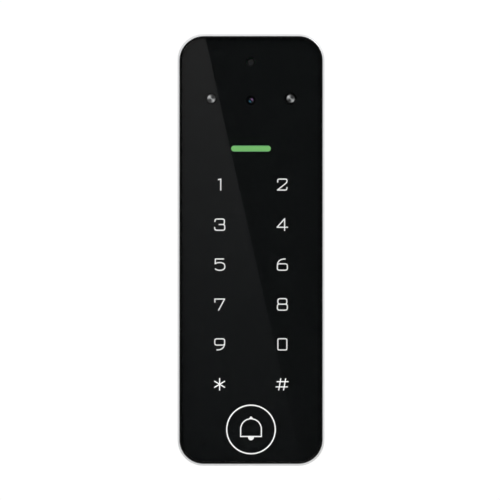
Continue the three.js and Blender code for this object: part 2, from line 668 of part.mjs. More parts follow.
function glassPanel() {
  const steps = 4;
  const profile = [[GLASS_Y[0], GLASS_CHAMFER], [GLASS_Y[0] - GLASS_CHAMFER, 0]];
  for (let i = 0; i <= steps; i += 1) {
    const turn = (i / steps) * (Math.PI / 2);
    profile.push([GLASS_Y[1] + GLASS_EDGE * (1 - Math.sin(turn)), GLASS_EDGE * (1 - Math.cos(turn))]);
  }
  const body = profiledBlock(
    POCKET.width - 2 * GLASS_GAP,
    POCKET.height - 2 * GLASS_GAP,
    POCKET.radius - GLASS_GAP,
    profile,
  );
  const through = [GLASS_Y[0] + OVERSHOOT, GLASS_Y[1] - OVERSHOOT];
  const micHole = cylinderY(MICROPHONE.radius, through, MICROPHONE.x, MICROPHONE.z, 12);
  return cut(body, micHole);
}

// The outline of the thin sheets behind the glass.
function sheetOutline() {
  const { width, height, radius } = POCKET;
  return roundedRectangle(width - 2 * SHEET_GAP, height - 2 * SHEET_GAP, radius - SHEET_GAP);
}

function printMask() {
  const outline = sheetOutline();
  outline.holes.push(rectangleHole(BAR.width, BAR.height, BAR.endRadius, 0, BAR.z));
  outline.holes.push(circleHole(LIGHT.window, -LIGHT.x, LIGHT.z, 24));
  outline.holes.push(circleHole(LIGHT.window, LIGHT.x, LIGHT.z, 24));
  outline.holes.push(circleHole(CAMERA.window, 0, CAMERA.z, 24));
  outline.holes.push(circleHole(SENSOR.window, 0, SENSOR.z));
  outline.holes.push(circleHole(MICROPHONE.radius, MICROPHONE.x, MICROPHONE.z));
  const tools = bellTools();
  KEY_SIGNS.forEach((pair, row) => {
    pair.forEach((sign, column) => {
      const x = (2 * column - 1) * KEY_COLUMN;
      const z = KEY_TOP_ROW - row * KEY_PITCH;
      tools.push(...signTools(SIGN_LINES[sign], x, z));
    });
  });
  return cut(plate(outline, MASK_Y, 3), ...tools);
}

function glassAdhesive() {
  const outline = sheetOutline();
  const { width, height, radius } = ADHESIVE_WINDOW;
  outline.holes.push(rectangleHole(width, height, radius, 0, 0));
  return plate(outline, ADHESIVE_Y);
}

function keypadDiffuser() {
  const { width, height, radius, z } = KEYPAD_DIFFUSER;
  const outline = roundedRectangle(width, height, radius, 0, z);
  outline.holes.push(circleHole(MIC_BOOT.outer + MIC_BOOT.clearance, MICROPHONE.x, MICROPHONE.z));
  return plate(outline, DIFFUSER_Y);
}

function lightBarDiffuser() {
  const { width, height, radius } = BAR_DIFFUSER;
  return plate(roundedRectangle(width, height, radius, 0, BAR.z), DIFFUSER_Y);
}

// A side-firing light on the touch board, at the edge of a diffuser.
function edgeLight(x, z) {
  const outline = roundedRectangle(EDGE_LIGHT.width, EDGE_LIGHT.height, EDGE_LIGHT.radius, x, z);
  return plate(outline, [DIFFUSER_Y[0] - STACK_GAP, DIFFUSER_Y[1]], 1);
}

function touchBoard() {
  const { width, height, radius, z } = TOUCH_BOARD;
  const outline = roundedRectangle(width, height, radius, 0, z);
  outline.holes.push(circleHole(MICROPHONE.port, MICROPHONE.x, MICROPHONE.z));
  return plate(outline, TOUCH_BOARD_Y);
}

function micBoot() {
  const outline = circle(MIC_BOOT.outer, MICROPHONE.x, MICROPHONE.z);
  outline.holes.push(circleHole(MIC_BOOT.inner, MICROPHONE.x, MICROPHONE.z));
  return plate(outline, [DIFFUSER_Y[0] - STACK_GAP, DIFFUSER_Y[1]]);
}

// The microphone on the back of the touch board, its port over the hole near one end.
function microphone() {
  const { width, height, radius, thickness, aside, up } = MIC_CAN;
  const outline = roundedRectangle(width, height, radius, MICROPHONE.x + aside, MICROPHONE.z + up);
  return plate(outline, below(TOUCH_BOARD_Y, thickness), 1);
}

function rfidAntenna() {
  const { width, height, radius, z, track, innerRadius } = RFID_ANTENNA;
  const outline = roundedRectangle(width, height, radius, 0, z);
  outline.holes.push(rectangleHole(width - 2 * track, height - 2 * track, innerRadius, 0, z));
  return plate(outline, RFID_ANTENNA_Y);
}

function ferriteSheet() {
  const { width, height, radius, z } = RFID_ANTENNA;
  const outline = roundedRectangle(width + 2 * FERRITE_MARGIN, height + 2 * FERRITE_MARGIN, radius, 0, z);
  return plate(outline, FERRITE_Y);
}

// The depths of a piece that stands on the back of a board.
function below([back], thickness) {
  return [back + STACK_GAP + thickness, back + STACK_GAP];
}

// The depths of a piece that stands on the front of a board.
function above([, front], thickness) {
  return [front - STACK_GAP, front - STACK_GAP - thickness];
}

// ---------------------------------------------------------------- camera board and optics

function cameraBoard() {
  const { width, height, radius, z } = CAMERA_BOARD;
  return plate(roundedRectangle(width, height, radius, 0, z), CAMERA_BOARD_Y, 2);
}

function cameraModule() {
  const { side, radius, thickness } = CAMERA_MODULE;
  return plate(roundedRectangle(side, side, radius, 0, CAMERA.z), above(CAMERA_BOARD_Y, thickness), 2);
}

function cameraModuleFront() {
  return above(CAMERA_BOARD_Y, CAMERA_MODULE.thickness)[1] - STACK_GAP;
}

function cameraBarrel() {
  const { outer, nose, bevel, mouth, bore, taper } = BARREL;
  const back = cameraModuleFront();
  const front = OPTICS_FRONT;
  return turned([
    [bore, back], [outer, back], [outer, front + bevel], [nose, front],
    [mouth, front], [mouth, front + bevel], [bore, front + taper], [bore, back],
  ], 0, CAMERA.z, 20);
}

// The profile of a round base under a dome, standing on the plane y = back.
function domeOnBase({ radius, base, dome }, back) {
  const steps = 3;
  const profile = [[0, back], [radius, back]];
  for (let i = 0; i < steps; i += 1) {
    const turn = (i / steps) * (Math.PI / 2);
    profile.push([radius * Math.cos(turn), back - base - dome * Math.sin(turn)]);
  }
  profile.push([0, back - base - dome]);
  return profile;
}

function cameraLens() {
  return turned(domeOnBase(LENS, cameraModuleFront()), 0, CAMERA.z, 16);
}

function ledCup(x) {
  const { outer, mouth, waist, waistHeight, throat, throatHeight } = LAMP_CUP;
  const [back] = above(CAMERA_BOARD_Y, 0);
  return turned([
    [throat, back], [outer, back], [outer, OPTICS_FRONT], [mouth, OPTICS_FRONT],
    [waist, back - waistHeight], [throat, back - throatHeight], [throat, back],
  ], x, LIGHT.z, 16);
}

function whiteLed(x) {
  const [back] = above(CAMERA_BOARD_Y, 0);
  return turned(domeOnBase(LAMP, back), x, LIGHT.z, 12);
}

function lightSensor() {
  const { side, radius, thickness, z } = SENSOR_CHIP;
  return plate(roundedRectangle(side, side, radius, 0, z), above(CAMERA_BOARD_Y, thickness), 1);
}

function lightPipe() {
  const { head, headHeight, neck } = LIGHT_PIPE;
  const back = above(CAMERA_BOARD_Y, SENSOR_CHIP.thickness)[1] - STACK_GAP;
  const headBack = OPTICS_FRONT + headHeight;
  return turned([
    [0, back], [neck, back], [neck, headBack], [head, headBack], [head, OPTICS_FRONT], [0, OPTICS_FRONT],
  ], 0, SENSOR_CHIP.z, 12);
}

function cameraConnector() {
  const { width, height, radius, z } = CAMERA_CONNECTOR;
  return plate(roundedRectangle(width, height, radius, 0, z), BOARD_GAP_Y, 1);
}

function cameraSpacer(x) {
  return cylinderY(CAMERA_SPACER.radius, BOARD_GAP_Y, x, CAMERA_SPACER.z, 6);
}

// ---------------------------------------------------------------- electronics

function mainBoard() {
  const outline = roundedRectangle(MAIN_BOARD.width, MAIN_BOARD.height, MAIN_BOARD.radius);
  for (const [x, z] of corners(BOARD_SCREW)) outline.holes.push(circleHole(M25.shank + SCREW_GAP, x, z));
  return plate(outline, MAIN_BOARD_Y, 2);
}

function chip({ width, height, thickness, x, z }) {
  return plate(roundedRectangle(width, height, CHIP_RADIUS, x, z), above(MAIN_BOARD_Y, thickness), 1);
}

function capacitor(x) {
  const { z, height, can, canFoot, bevel, base, baseHeight, groove, grooveHeight } = CAPACITOR;
  const [foot, top] = above(MAIN_BOARD_Y, height);
  return turned([
    [0, foot], [base, foot], [base, foot - baseHeight], [groove, foot - grooveHeight],
    [can, foot - canFoot], [can, top + bevel], [can - bevel, top], [0, top],
  ], x, z, 12);
}

function radioShield() {
  const { width, height, radius, thickness, x, z } = RADIO_SHIELD;
  const foot = above(MAIN_BOARD_Y, RADIO_MODULE.thickness)[1] - STACK_GAP;
  return plate(roundedRectangle(width, height, radius, x, z), [foot, foot - thickness], 2);
}

function touchConnector() {
  const { width, height, radius, z } = TOUCH_CONNECTOR;
  const span = [MAIN_BOARD_Y[1] - STACK_GAP, TOUCH_BOARD_Y[0] + STACK_GAP];
  return plate(roundedRectangle(width, height, radius, 0, z), span, 1);
}

function speaker() {
  const { width, height, radius, z, back, front } = SPEAKER;
  return plate(roundedRectangle(width, height, radius, 0, z), [back, front], 2);
}

function speakerMesh() {
  const { width, depth, thickness } = SPEAKER_MESH;
  const foot = -HOLLOW.height / 2 + STACK_GAP;
  return box(around(0, width / 2), around(SOUND_SLOT.y, depth / 2), [foot, foot + thickness]);
}

// A wiring header on the back of the main board, with a row of wire sockets facing the wall.
function wiringHeader(pins, z) {
  const depth = below(MAIN_BOARD_Y, HEADER.standing);
  const [back] = depth;
  const body = plate(roundedRectangle(headerLength(pins), HEADER.height, HEADER.radius, 0, z), depth, 1);
  const sockets = [];
  for (let pin = 0; pin < pins; pin += 1) {
    const x = (pin - (pins - 1) / 2) * HEADER_PITCH;
    for (const hole of [WIRE_SOCKET, RELEASE_SLOT]) {
      const span = [back - hole.depth, back + OVERSHOOT];
      sockets.push(box(around(x, hole.halfWidth), span, around(z + hole.up, hole.halfHeight)));
    }
  }
  return cut(body, ...sockets);
}

function headerLength(pins) {
  return pins * HEADER_PITCH + HEADER.ends;
}

// ---------------------------------------------------------------- rear cover

// The outline that the rear cover and its seal share, moved inwards by a margin.
function coverOutline(margin, Outline = THREE.Shape) {
  const inset = COVER_GAP + margin;
  const width = RECESS.width - 2 * inset;
  const height = RECESS.height - 2 * inset;
  return roundedRectangle(width, height, RECESS.radius - inset, 0, 0, Outline);
}

function rearCover() {
  const outline = coverOutline(0);
  for (const { pins, z } of [POWER_HEADER, DATA_HEADER]) {
    const { gap, radius } = HEADER_WINDOW;
    const width = headerLength(pins) + 2 * gap;
    outline.holes.push(rectangleHole(width, HEADER.height + 2 * gap, radius, 0, z));
  }
  outline.holes.push(circleHole(TAMPER.window, TAMPER.x, TAMPER.z));
  for (const [x, z] of corners(COVER_SCREW)) outline.holes.push(circleHole(M3.shank + SCREW_GAP, x, z));
  const bridges = [];
  for (const z of HOOK.z) {
    const foot = z + HOOK.thickness + KEEPER.rise;
    for (const side of [-1, 1]) bridges.push(...keeper(side * HOOK.x, foot));
  }
  return joined(plate(outline, COVER_Y, 3), ...bridges);
}

// A bridge that drops behind the lip of a wall plate hook: two posts and a bar.
function keeper(x, z) {
  const inside = HOOK.width / 2 + KEEPER.gap;
  const outside = inside + KEEPER.post;
  const posts = [COVER_Y[0] - ROOT, KEEPER.back];
  const span = [z, z + KEEPER.height];
  return [
    box([x - outside, x - inside], posts, span),
    box([x + inside, x + outside], posts, span),
    box([x - outside, x + outside], [KEEPER.back - KEEPER.bar, KEEPER.back], span),
  ];
}

function rearSeal() {
  const outline = coverOutline(0);
  outline.holes.push(coverOutline(SEAL_WIDTH, THREE.Path));
  return plate(outline, SEAL_Y);
}

// A pan head screw along Y with a cross recess, its head towards the wall.
function screwY({ shank, head, headHeight }, seat, tip, x, z) {
  const top = seat + headHeight;
  const core = shank * THREAD_CORE;
  const body = turned([
    [0, tip], [shank * SCREW_POINT.share, tip], [core, tip + SCREW_POINT.height], [core, seat],
    [head, seat], [head, top - HEAD_CROWN.height], [head * HEAD_CROWN.share, top], [0, top],
  ], x, z, 10);
  const { share, depthShare, halfWidth } = CROSS_RECESS;
  const span = [top - headHeight * depthShare, top + OVERSHOOT];
  return cut(
    body,
    box(around(x, head * share), span, around(z, halfWidth)),
    box(around(x, halfWidth), span, around(z, head * share)),
  );
}

// ---------------------------------------------------------------- moving pieces

// The locking screw: low head with a six-sided socket, from below through the tab.
function securityScrew() {
  const seat = -RECESS.height / 2;
  const headBottom = seat - M3.headHeight;
  const body = joined(
    cylinderZ(M3.head, [headBottom, seat], 0, LOCK.y, 20),
    cylinderZ(M3.shank, [seat - ROOT, seat + LOCK.length], 0, LOCK.y, 12),
  );
  const socketSpan = [headBottom - OVERSHOOT, headBottom + LOCK.socketDepth];
  return cut(body, cylinderZ(LOCK.socket, socketSpan, 0, LOCK.y, 6));
}

// The switch on the main board that feels whether the reader is on its wall plate.
function tamperSwitch() {
  const { side, radius, height, floor } = TAMPER_SWITCH;
  const top = MAIN_BOARD_Y[0] + height;
  const outline = roundedRectangle(side, side, radius, TAMPER.x, TAMPER.z);
  const body = plate(outline, [top, MAIN_BOARD_Y[0] + STACK_GAP], 1);
  const guideSpan = [top + OVERSHOOT, MAIN_BOARD_Y[0] + floor];
  return cut(body, cylinderY(TAMPER.radius + SLIDE_GAP, guideSpan, TAMPER.x, TAMPER.z));
}

function tamperPlunger() {
  const { radius, front } = TAMPER;
  const collar = TAMPER_COLLAR;
  const collarBack = collar.front + collar.thickness;
  const back = PLATE_Y[1] - SLIDE_GAP;
  return turned([
    [0, front], [radius, front], [radius, collar.front], [collar.radius, collar.front],
    [collar.radius, collarBack], [radius, collarBack + collar.fillet], [radius, back - TAMPER_TIP.height],
    [TAMPER_TIP.radius, back], [0, back],
  ], TAMPER.x, TAMPER.z, 12);
}

// The coil spring under the plunger's collar.
class Coil extends THREE.Curve {
  constructor(radius, turns, start, end) {
    super();
    Object.assign(this, { radius, turns, start, end });
  }

  getPoint(t, target = new THREE.Vector3()) {
    const angle = 2 * Math.PI * this.turns * t;
    const y = THREE.MathUtils.lerp(this.start, this.end, t);
    return target.set(this.radius * Math.cos(angle), y, this.radius * Math.sin(angle));
  }
}

function tamperSpring() {
  const { coil, wire, turns, wireSides, steps } = TAMPER_SPRING;
  const start = MAIN_BOARD_Y[0] + TAMPER_SWITCH.height + wire + STACK_GAP;
  const end = TAMPER_COLLAR.front - wire - STACK_GAP;
  const path = new Coil(coil, turns, start, end);
  const geometry = new THREE.ExtrudeGeometry(circle(wire, 0, 0, wireSides), {
    steps,
    bevelEnabled: false,
    extrudePath: path,
  });
  return geometry.translate(TAMPER.x, 0, TAMPER.z);
}

function resetSwitch() {
  const { back, front, frontY, halfHeight } = RESET_SWITCH;
  const body = box([back, front], [MAIN_BOARD_Y[1] - STACK_GAP, frontY], around(RESET.z, halfHeight));
  const guideRadius = RESET.radius + SLIDE_GAP;
  const guideSpan = [RESET.back - ROOT, front + OVERSHOOT];
  return cut(body, coneX(guideRadius, guideRadius, guideSpan, RESET.y, RESET.z));
}

function resetButton() {
  return coneX(RESET.radius, RESET.tipRadius, [RESET.back, RESET.front], RESET.y, RESET.z);
}

// ---------------------------------------------------------------- assembly

const reader = new THREE.Group();

function place(name, shape, material) {
  const geometry = shape.isBufferGeometry ? shape : toGeometry(shape);
  const mesh = new THREE.Mesh(geometry, material);
  mesh.name = name;
  reader.add(mesh);
}

place('wall_plate', wallPlate(), MATERIALS.steel);
place('front_housing', frontHousing(), MATERIALS.satinMetal);
place('glass_panel', glassPanel(), MATERIALS.blackGlass);
place('print_mask', printMask(), MATERIALS.blackInk);
place('glass_adhesive', glassAdhesive(), MATERIALS.adhesive);
place('keypad_diffuser', keypadDiffuser(), MATERIALS.whiteDiffuser);
place('light_bar_diffuser', lightBarDiffuser(), MATERIALS.greenDiffuser);
place('touch_board', touchBoard(), MATERIALS.circuitBoard);
place('keypad_led_left', edgeLight(-KEY_COLUMN, EDGE_LIGHT.keypadZ), MATERIALS.ledPackage);
place('keypad_led_right', edgeLight(KEY_COLUMN, EDGE_LIGHT.keypadZ), MATERIALS.ledPackage);
place('light_bar_led', edgeLight(0, EDGE_LIGHT.barZ), MATERIALS.ledPackage);
place('mic_boot', micBoot(), MATERIALS.rubber);
place('microphone', microphone(), MATERIALS.brightCan);
place('rfid_antenna', rfidAntenna(), MATERIALS.copper);
place('ferrite_sheet', ferriteSheet(), MATERIALS.ferrite);

place('camera_board', cameraBoard(), MATERIALS.circuitBoard);
place('camera_module', cameraModule(), MATERIALS.blackPlastic);
place('camera_barrel', cameraBarrel(), MATERIALS.blackPlastic);
place('camera_lens', cameraLens(), MATERIALS.cameraLens);
place('led_cup_left', ledCup(-LIGHT.x), MATERIALS.blackPlastic);
place('led_cup_right', ledCup(LIGHT.x), MATERIALS.blackPlastic);
place('white_led_left', whiteLed(-LIGHT.x), MATERIALS.clearLens);
place('white_led_right', whiteLed(LIGHT.x), MATERIALS.clearLens);
place('light_sensor', lightSensor(), MATERIALS.blackPlastic);
place('light_pipe', lightPipe(), MATERIALS.clearLens);
place('camera_connector', cameraConnector(), MATERIALS.blackPlastic);
place('camera_spacer_left', cameraSpacer(-CAMERA_SPACER.x), MATERIALS.steel);
place('camera_spacer_right', cameraSpacer(CAMERA_SPACER.x), MATERIALS.steel);

place('main_board', mainBoard(), MATERIALS.circuitBoard);
place('processor', chip(PROCESSOR), MATERIALS.blackPlastic);
place('relay', chip(RELAY), MATERIALS.relayPlastic);
place('capacitor_left', capacitor(CAPACITOR.left), MATERIALS.brightCan);
place('capacitor_right', capacitor(CAPACITOR.right), MATERIALS.brightCan);
place('radio_module', chip(RADIO_MODULE), MATERIALS.circuitBoard);
place('radio_shield', radioShield(), MATERIALS.brightCan);
place('touch_connector', touchConnector(), MATERIALS.blackPlastic);
place('speaker', speaker(), MATERIALS.blackPlastic);
place('speaker_mesh', speakerMesh(), MATERIALS.wovenMesh);
place('power_header', wiringHeader(POWER_HEADER.pins, POWER_HEADER.z), MATERIALS.greenPlastic);
place('data_header', wiringHeader(DATA_HEADER.pins, DATA_HEADER.z), MATERIALS.greenPlastic);

place('rear_seal', rearSeal(), MATERIALS.rubber);
place('rear_cover', rearCover(), MATERIALS.blackPlastic);
corners(BOARD_SCREW).forEach(([x, z], i) => {
  const seat = MAIN_BOARD_Y[0] + STACK_GAP;
  place(`board_screw_${i + 1}`, screwY(M25, seat, BOARD_SCREW.tip, x, z), MATERIALS.steel);
});
corners(COVER_SCREW).forEach(([x, z], i) => {
  const seat = COVER_Y[0] + STACK_GAP;
  place(`cover_screw_${i + 1}`, screwY(M3, seat, COVER_SCREW.tip, x, z), MATERIALS.steel);
});

place('security_screw', securityScrew(), MATERIALS.steel);
place('tamper_switch', tamperSwitch(), MATERIALS.blackPlastic);
place('tamper_spring', tamperSpring(), MATERIALS.steel);
place('tamper_plunger', tamperPlunger(), MATERIALS.whiteDiffuser);
place('reset_switch', resetSwitch(), MATERIALS.blackPlastic);
place('reset_button', resetButton(), MATERIALS.ledPackage);

export default reader;
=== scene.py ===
"""Looks of a wall-mounted keypad access reader: a satin metal housing round a black glass front,
with lit keypad signs, a bell key, a green status bar, a camera, two white lamps and a wall plate.

Metres, +Z up; the front faces -Y, and the wall is the plane y = 0.
"""

import json
import math

import bmesh
import bpy
from mathutils import Matrix, Vector


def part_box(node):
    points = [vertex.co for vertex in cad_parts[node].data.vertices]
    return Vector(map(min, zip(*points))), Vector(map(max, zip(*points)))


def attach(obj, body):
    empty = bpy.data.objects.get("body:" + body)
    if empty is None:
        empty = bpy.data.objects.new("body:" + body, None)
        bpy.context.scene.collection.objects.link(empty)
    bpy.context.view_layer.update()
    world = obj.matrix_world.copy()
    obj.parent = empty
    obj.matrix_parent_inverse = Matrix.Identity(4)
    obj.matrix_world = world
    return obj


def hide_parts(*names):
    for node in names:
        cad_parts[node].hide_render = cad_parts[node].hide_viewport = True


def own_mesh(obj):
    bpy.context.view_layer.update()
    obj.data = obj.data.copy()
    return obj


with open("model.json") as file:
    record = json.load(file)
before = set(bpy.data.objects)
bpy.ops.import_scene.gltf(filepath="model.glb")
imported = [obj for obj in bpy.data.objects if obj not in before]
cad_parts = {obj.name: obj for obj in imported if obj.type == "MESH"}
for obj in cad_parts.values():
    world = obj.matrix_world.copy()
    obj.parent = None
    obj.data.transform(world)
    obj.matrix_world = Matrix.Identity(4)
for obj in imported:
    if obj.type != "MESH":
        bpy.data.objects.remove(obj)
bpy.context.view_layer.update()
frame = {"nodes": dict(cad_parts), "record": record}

MM = 0.001

# ------------------------------------------------------------------ places taken from the frame


def centre(node):
    low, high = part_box(node)
    return (low + high) / 2


def size(node):
    low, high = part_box(node)
    return high - low


def screw_places(root):
    """The places, in x and z, of four screws that share the root of their name."""
    middles = [centre(f"{root}_{i}") for i in range(1, 5)]
    return [(middle.x, middle.z) for middle in middles]


HOUSING_LOW, HOUSING_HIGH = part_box("front_housing")
GLASS_LOW, GLASS_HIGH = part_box("glass_panel")
PLATE_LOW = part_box("wall_plate")[0]
COVER_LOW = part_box("rear_cover")[0]
BODY_WIDTH, _, BODY_HEIGHT = size("front_housing")
RIM_FRONT = HOUSING_LOW.y
HOUSING_BACK = HOUSING_HIGH.y
INK_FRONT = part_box("print_mask")[0].y

# Housing section: corner radius, side draft, rounded lip, rim, and the three nested hollows.
CORNER = 10.4 * MM
BACK_EDGE = {"inset": 0.35 * MM, "run": 0.5 * MM}
DRAFT = 0.55 * MM
LIP = {"inset": 0.18 * MM, "run": 0.6 * MM}
RIM = 0.85 * MM
RIM_FLARE = {"wider": 0.1 * MM, "run": 0.08 * MM}
WALL = 2.0 * MM
MOUTH = {"wider": 0.5 * MM, "run": 0.3 * MM}
GLASS_SEAT = -19.35 * MM
SHELF = -9.6 * MM
HOLLOW = (51.6 * MM, 165.8 * MM, 6.9 * MM)
BODY_BOTTOM = -BODY_HEIGHT / 2
RECESS_BOTTOM = BODY_BOTTOM + WALL
SLOT_PITCH = 3.2 * MM
SLOT_SIZE = (1.6 * MM, 3.0 * MM)
SLOT_Y = -15.3 * MM

# Glass: the gap round it, its rounded front edge, its back chamfer and the microphone hole.
GLASS_GAP = 0.3 * MM
GLASS_EDGE = 0.6 * MM
GLASS_CHAMFER = 0.15 * MM
MIC_HOLE = 0.75 * MM

# Keypad grid and the bell key, about the middle of the glass.
KEY_COLUMN = 12.6 * MM
KEY_PITCH = 16.05 * MM
KEY_TOP_ROW = 26.3 * MM
KEY_SIGNS = ("12", "34", "56", "78", "90", "*#")
SIGN_STROKE = 0.46
INK_PROUD = 0.012 * MM
INK_THICKNESS = 0.08 * MM
BELL_Z = -72.1 * MM
BELL_RING_RADIUS = 9.75
BELL_RING_STROKE = 0.515
BELL_HALF_WIDTH = 4.15
BELL_BASE = -2.83
BELL_SPRING_LINE = 0.13

# Locking screw and its hole.
LOCK_Y = -3.9 * MM
SCREW_RADIUS = 1.5 * MM
SCREW_HEAD = 2.75 * MM
SCREW_PITCH = 0.5 * MM

RESET_Y = -14.4 * MM
RESET_Z = -67.8 * MM

# Wall plate: sheet, cable window, wall screw slots and holes, and the hooks.
SHEET = 1.5 * MM
PLATE_CORNER = 4.0 * MM
CABLE_WINDOW = (32.0 * MM, 27.0 * MM, 3.0 * MM, 0.0, -19.5 * MM)
WALL_SLOT = (9.0 * MM, 4.2 * MM, 2.09 * MM)
WALL_SLOT_Z = (22.15 * MM, 10.5 * MM, -49.5 * MM, -61.15 * MM)
WALL_HOLE = 2.1 * MM
WALL_HOLE_PLACES = [(side * 18.0 * MM, z * MM) for z in (70.0, -66.0) for side in (-1, 1)]
HOOK_PLACES = [(side * 14.0 * MM, z * MM) for z in (56.0, -44.0) for side in (-1, 1)]
HOOK_WIDTH = 8.0 * MM
HOOK_FRONT = -5.0 * MM
HOOK_LIP = 5.0 * MM
BENT_ROOT = -0.4 * MM

COVER_BACK = -7.0 * MM
COVER_CORNER = 8.1 * MM
HEADER_PITCH = 2.54 * MM
# ------------------------------------------------------------------ node trees


class Nodes:
    """A node tree with short ways to add and join nodes."""

    def __init__(self, tree):
        self.tree = tree
        tree.nodes.clear()

    def feed(self, node, inputs):
        """Gives a node's inputs their values, or joins other nodes' outputs to them."""
        for name, value in inputs.items():
            socket = node.inputs[name]
            if isinstance(value, bpy.types.NodeSocket):
                self.tree.links.new(value, socket)
            else:
                socket.default_value = (*value, 1) if socket.type == "RGBA" else value

    def add(self, kind, inputs=None, **settings):
        node = self.tree.nodes.new(kind)
        for name, value in settings.items():
            setattr(node, name, value)
        self.feed(node, inputs or {})
        return node

    def show(self, shader, output="ShaderNodeOutputMaterial"):
        self.add(output, {"Surface": shader.outputs[0]})

    def mix(self, share, first, second):
        return self.add("ShaderNodeMixShader", {0: share, 1: first.outputs[0], 2: second.outputs[0]})

    def math(self, operation, first, *others):
        """A sum, product or other operation over two or more values, or of one."""
        result = first
        for other in others or (0.0,):
            node = self.add("ShaderNodeMath", {}, operation=operation)
            self.feed(node, {0: result, 1: other})
            result = node.outputs[0]
        return result

    def axes(self, source="Object"):
        """The x, y and z of each point, in metres."""
        place = self.add("ShaderNodeTexCoord").outputs[source]
        return self.add("ShaderNodeSeparateXYZ", {0: place}).outputs

    def from_middle(self, axis, middle):
        """How far each point is from a place along an axis, in millimetres."""
        return self.math("DIVIDE", self.math("SUBTRACT", self.axes()[axis], middle), MM)

    def colour(self, red, green, blue):
        return self.add("ShaderNodeCombineColor", {0: red, 1: green, 2: blue}).outputs[0]

    def map_range(self, value, from_low, from_high, to_low, to_high, smooth=True):
        limits = {"From Min": from_low, "From Max": from_high, "To Min": to_low, "To Max": to_high}
        kind = "SMOOTHSTEP" if smooth else "LINEAR"
        node = self.add("ShaderNodeMapRange", {"Value": value, **limits}, interpolation_type=kind)
        return node.outputs["Result"]

    def ramp(self, value, stops):
        node = self.add("ShaderNodeValToRGB", {0: value})
        elements = node.color_ramp.elements
        for element, (position, colour) in zip(elements, stops):
            element.position = position
            element.color = (*colour, 1)
        return node.outputs["Color"]

    def noise(self, scale, detail=3.0, stretch=(1, 1, 1)):
        place = self.add("ShaderNodeTexCoord").outputs["Object"]
        stretched = self.add("ShaderNodeMapping", {"Vector": place, "Scale": stretch}).outputs["Vector"]
        inputs = {"Vector": stretched, "Scale": scale, "Detail": detail}
        return self.add("ShaderNodeTexNoise", inputs).outputs["Fac"]

    def shades(self, noise, dark, light):
        """Dark to light colour over the middle of a noise's range."""
        return self.ramp(noise, ((0.3, dark), (0.7, light)))

    def vary(self, noise, low, high):
        """A low to a high value over the middle of a noise's range."""
        return self.map_range(noise, 0.3, 0.7, low, high)

    def bump(self, height, strength, depth):
        """A normal for a relief that is depth millimetres deep."""
        inputs = {"Height": height, "Strength": strength, "Distance": depth * MM}
        return self.add("ShaderNodeBump", inputs).outputs[0]


def new_material(name):
    """A new material and the helper for its nodes."""
    material = bpy.data.materials.new(name)
    material.use_nodes = True
    return material, Nodes(material.node_tree)


def surface(name):
    """A new material, its node helper and its Principled shader."""
    material, n = new_material(name)
    shader = n.add("ShaderNodeBsdfPrincipled")
    n.show(shader)
    return material, n, shader


# ------------------------------------------------------------------ camera, light and floor

# The view is this wide at the object, and looks along +Y.
VIEW_WIDTH = 0.2009
VIEW_CENTRE_X = -0.0004
CAMERA_DISTANCE = 1.2
FRONT_GLOW = 0.012
WHITE_BACKGROUND = 1.02
FLOOR_Z = -0.42
FLOOR_HALF = 6.0

# The reflected panel: its distance, its left side, and the ends of its slanting right side.
PANEL_DISTANCE = 3.0
PANEL_LEFT = -0.08
PANEL_EDGE_TOP = -0.0187
PANEL_EDGE_BOTTOM = 0.0206
PANEL_REACH = 0.03


def add_object(name, data):
    made = bpy.data.objects.new(name, data)
    bpy.context.scene.collection.objects.link(made)
    return made


def make_camera():
    data = bpy.data.cameras.new("camera")
    data.type = "ORTHO"
    data.ortho_scale = VIEW_WIDTH
    camera = add_object("camera", data)
    camera.location = (VIEW_CENTRE_X, -CAMERA_DISTANCE, 0)
    camera.rotation_euler = (math.radians(90), 0, 0)
    bpy.context.scene.camera = camera


def area_light(name, location, width, height, power):
    """A soft white light that faces the object."""
    data = bpy.data.lights.new(name, "AREA")
    data.shape = "RECTANGLE"
    data.size = width
    data.size_y = height
    data.energy = power
    light = add_object(name, data)
    light.location = location
    light.rotation_euler = (-Vector(location)).to_track_quat("-Z", "Y").to_euler()


def make_world():
    """A white studio: bright above and behind, dark in front, so that the glass stays black."""
    world = bpy.data.worlds.new("studio")
    bpy.context.scene.world = world
    world.use_nodes = True
    n = Nodes(world.node_tree)
    x, y, z = n.axes("Generated")
    behind = n.map_range(y, -0.35, 0.75, 0.0, 0.76)
    above = n.map_range(z, 0.1, 0.95, 0.0, 0.74)
    below = n.map_range(z, -0.9, -0.15, 0.10, 0.0)
    left = n.map_range(x, -1.0, -0.25, 0.20, 0.0)
    right = n.map_range(x, 0.3, 1.0, 0.0, 0.20)
    total = n.math("ADD", behind, above, below, left, right, FRONT_GLOW)
    studio = n.add("ShaderNodeBackground", {"Color": (1, 1, 1), "Strength": n.math("MINIMUM", total, 1.0)})
    white = n.add("ShaderNodeBackground", {"Color": (1, 1, 1), "Strength": WHITE_BACKGROUND})
    seen = n.add("ShaderNodeLightPath").outputs["Is Camera Ray"]
    n.show(n.mix(seen, studio, white), "ShaderNodeOutputWorld")


def stage_plane(name, corners, material):
    """A flat piece of the studio, which isn't part of the object."""
    mesh = bpy.data.meshes.new(name)
    mesh.from_pydata(corners, [], [(0, 1, 2, 3)])
    mesh.materials.append(material)
    plane = add_object(name, mesh)
    return plane


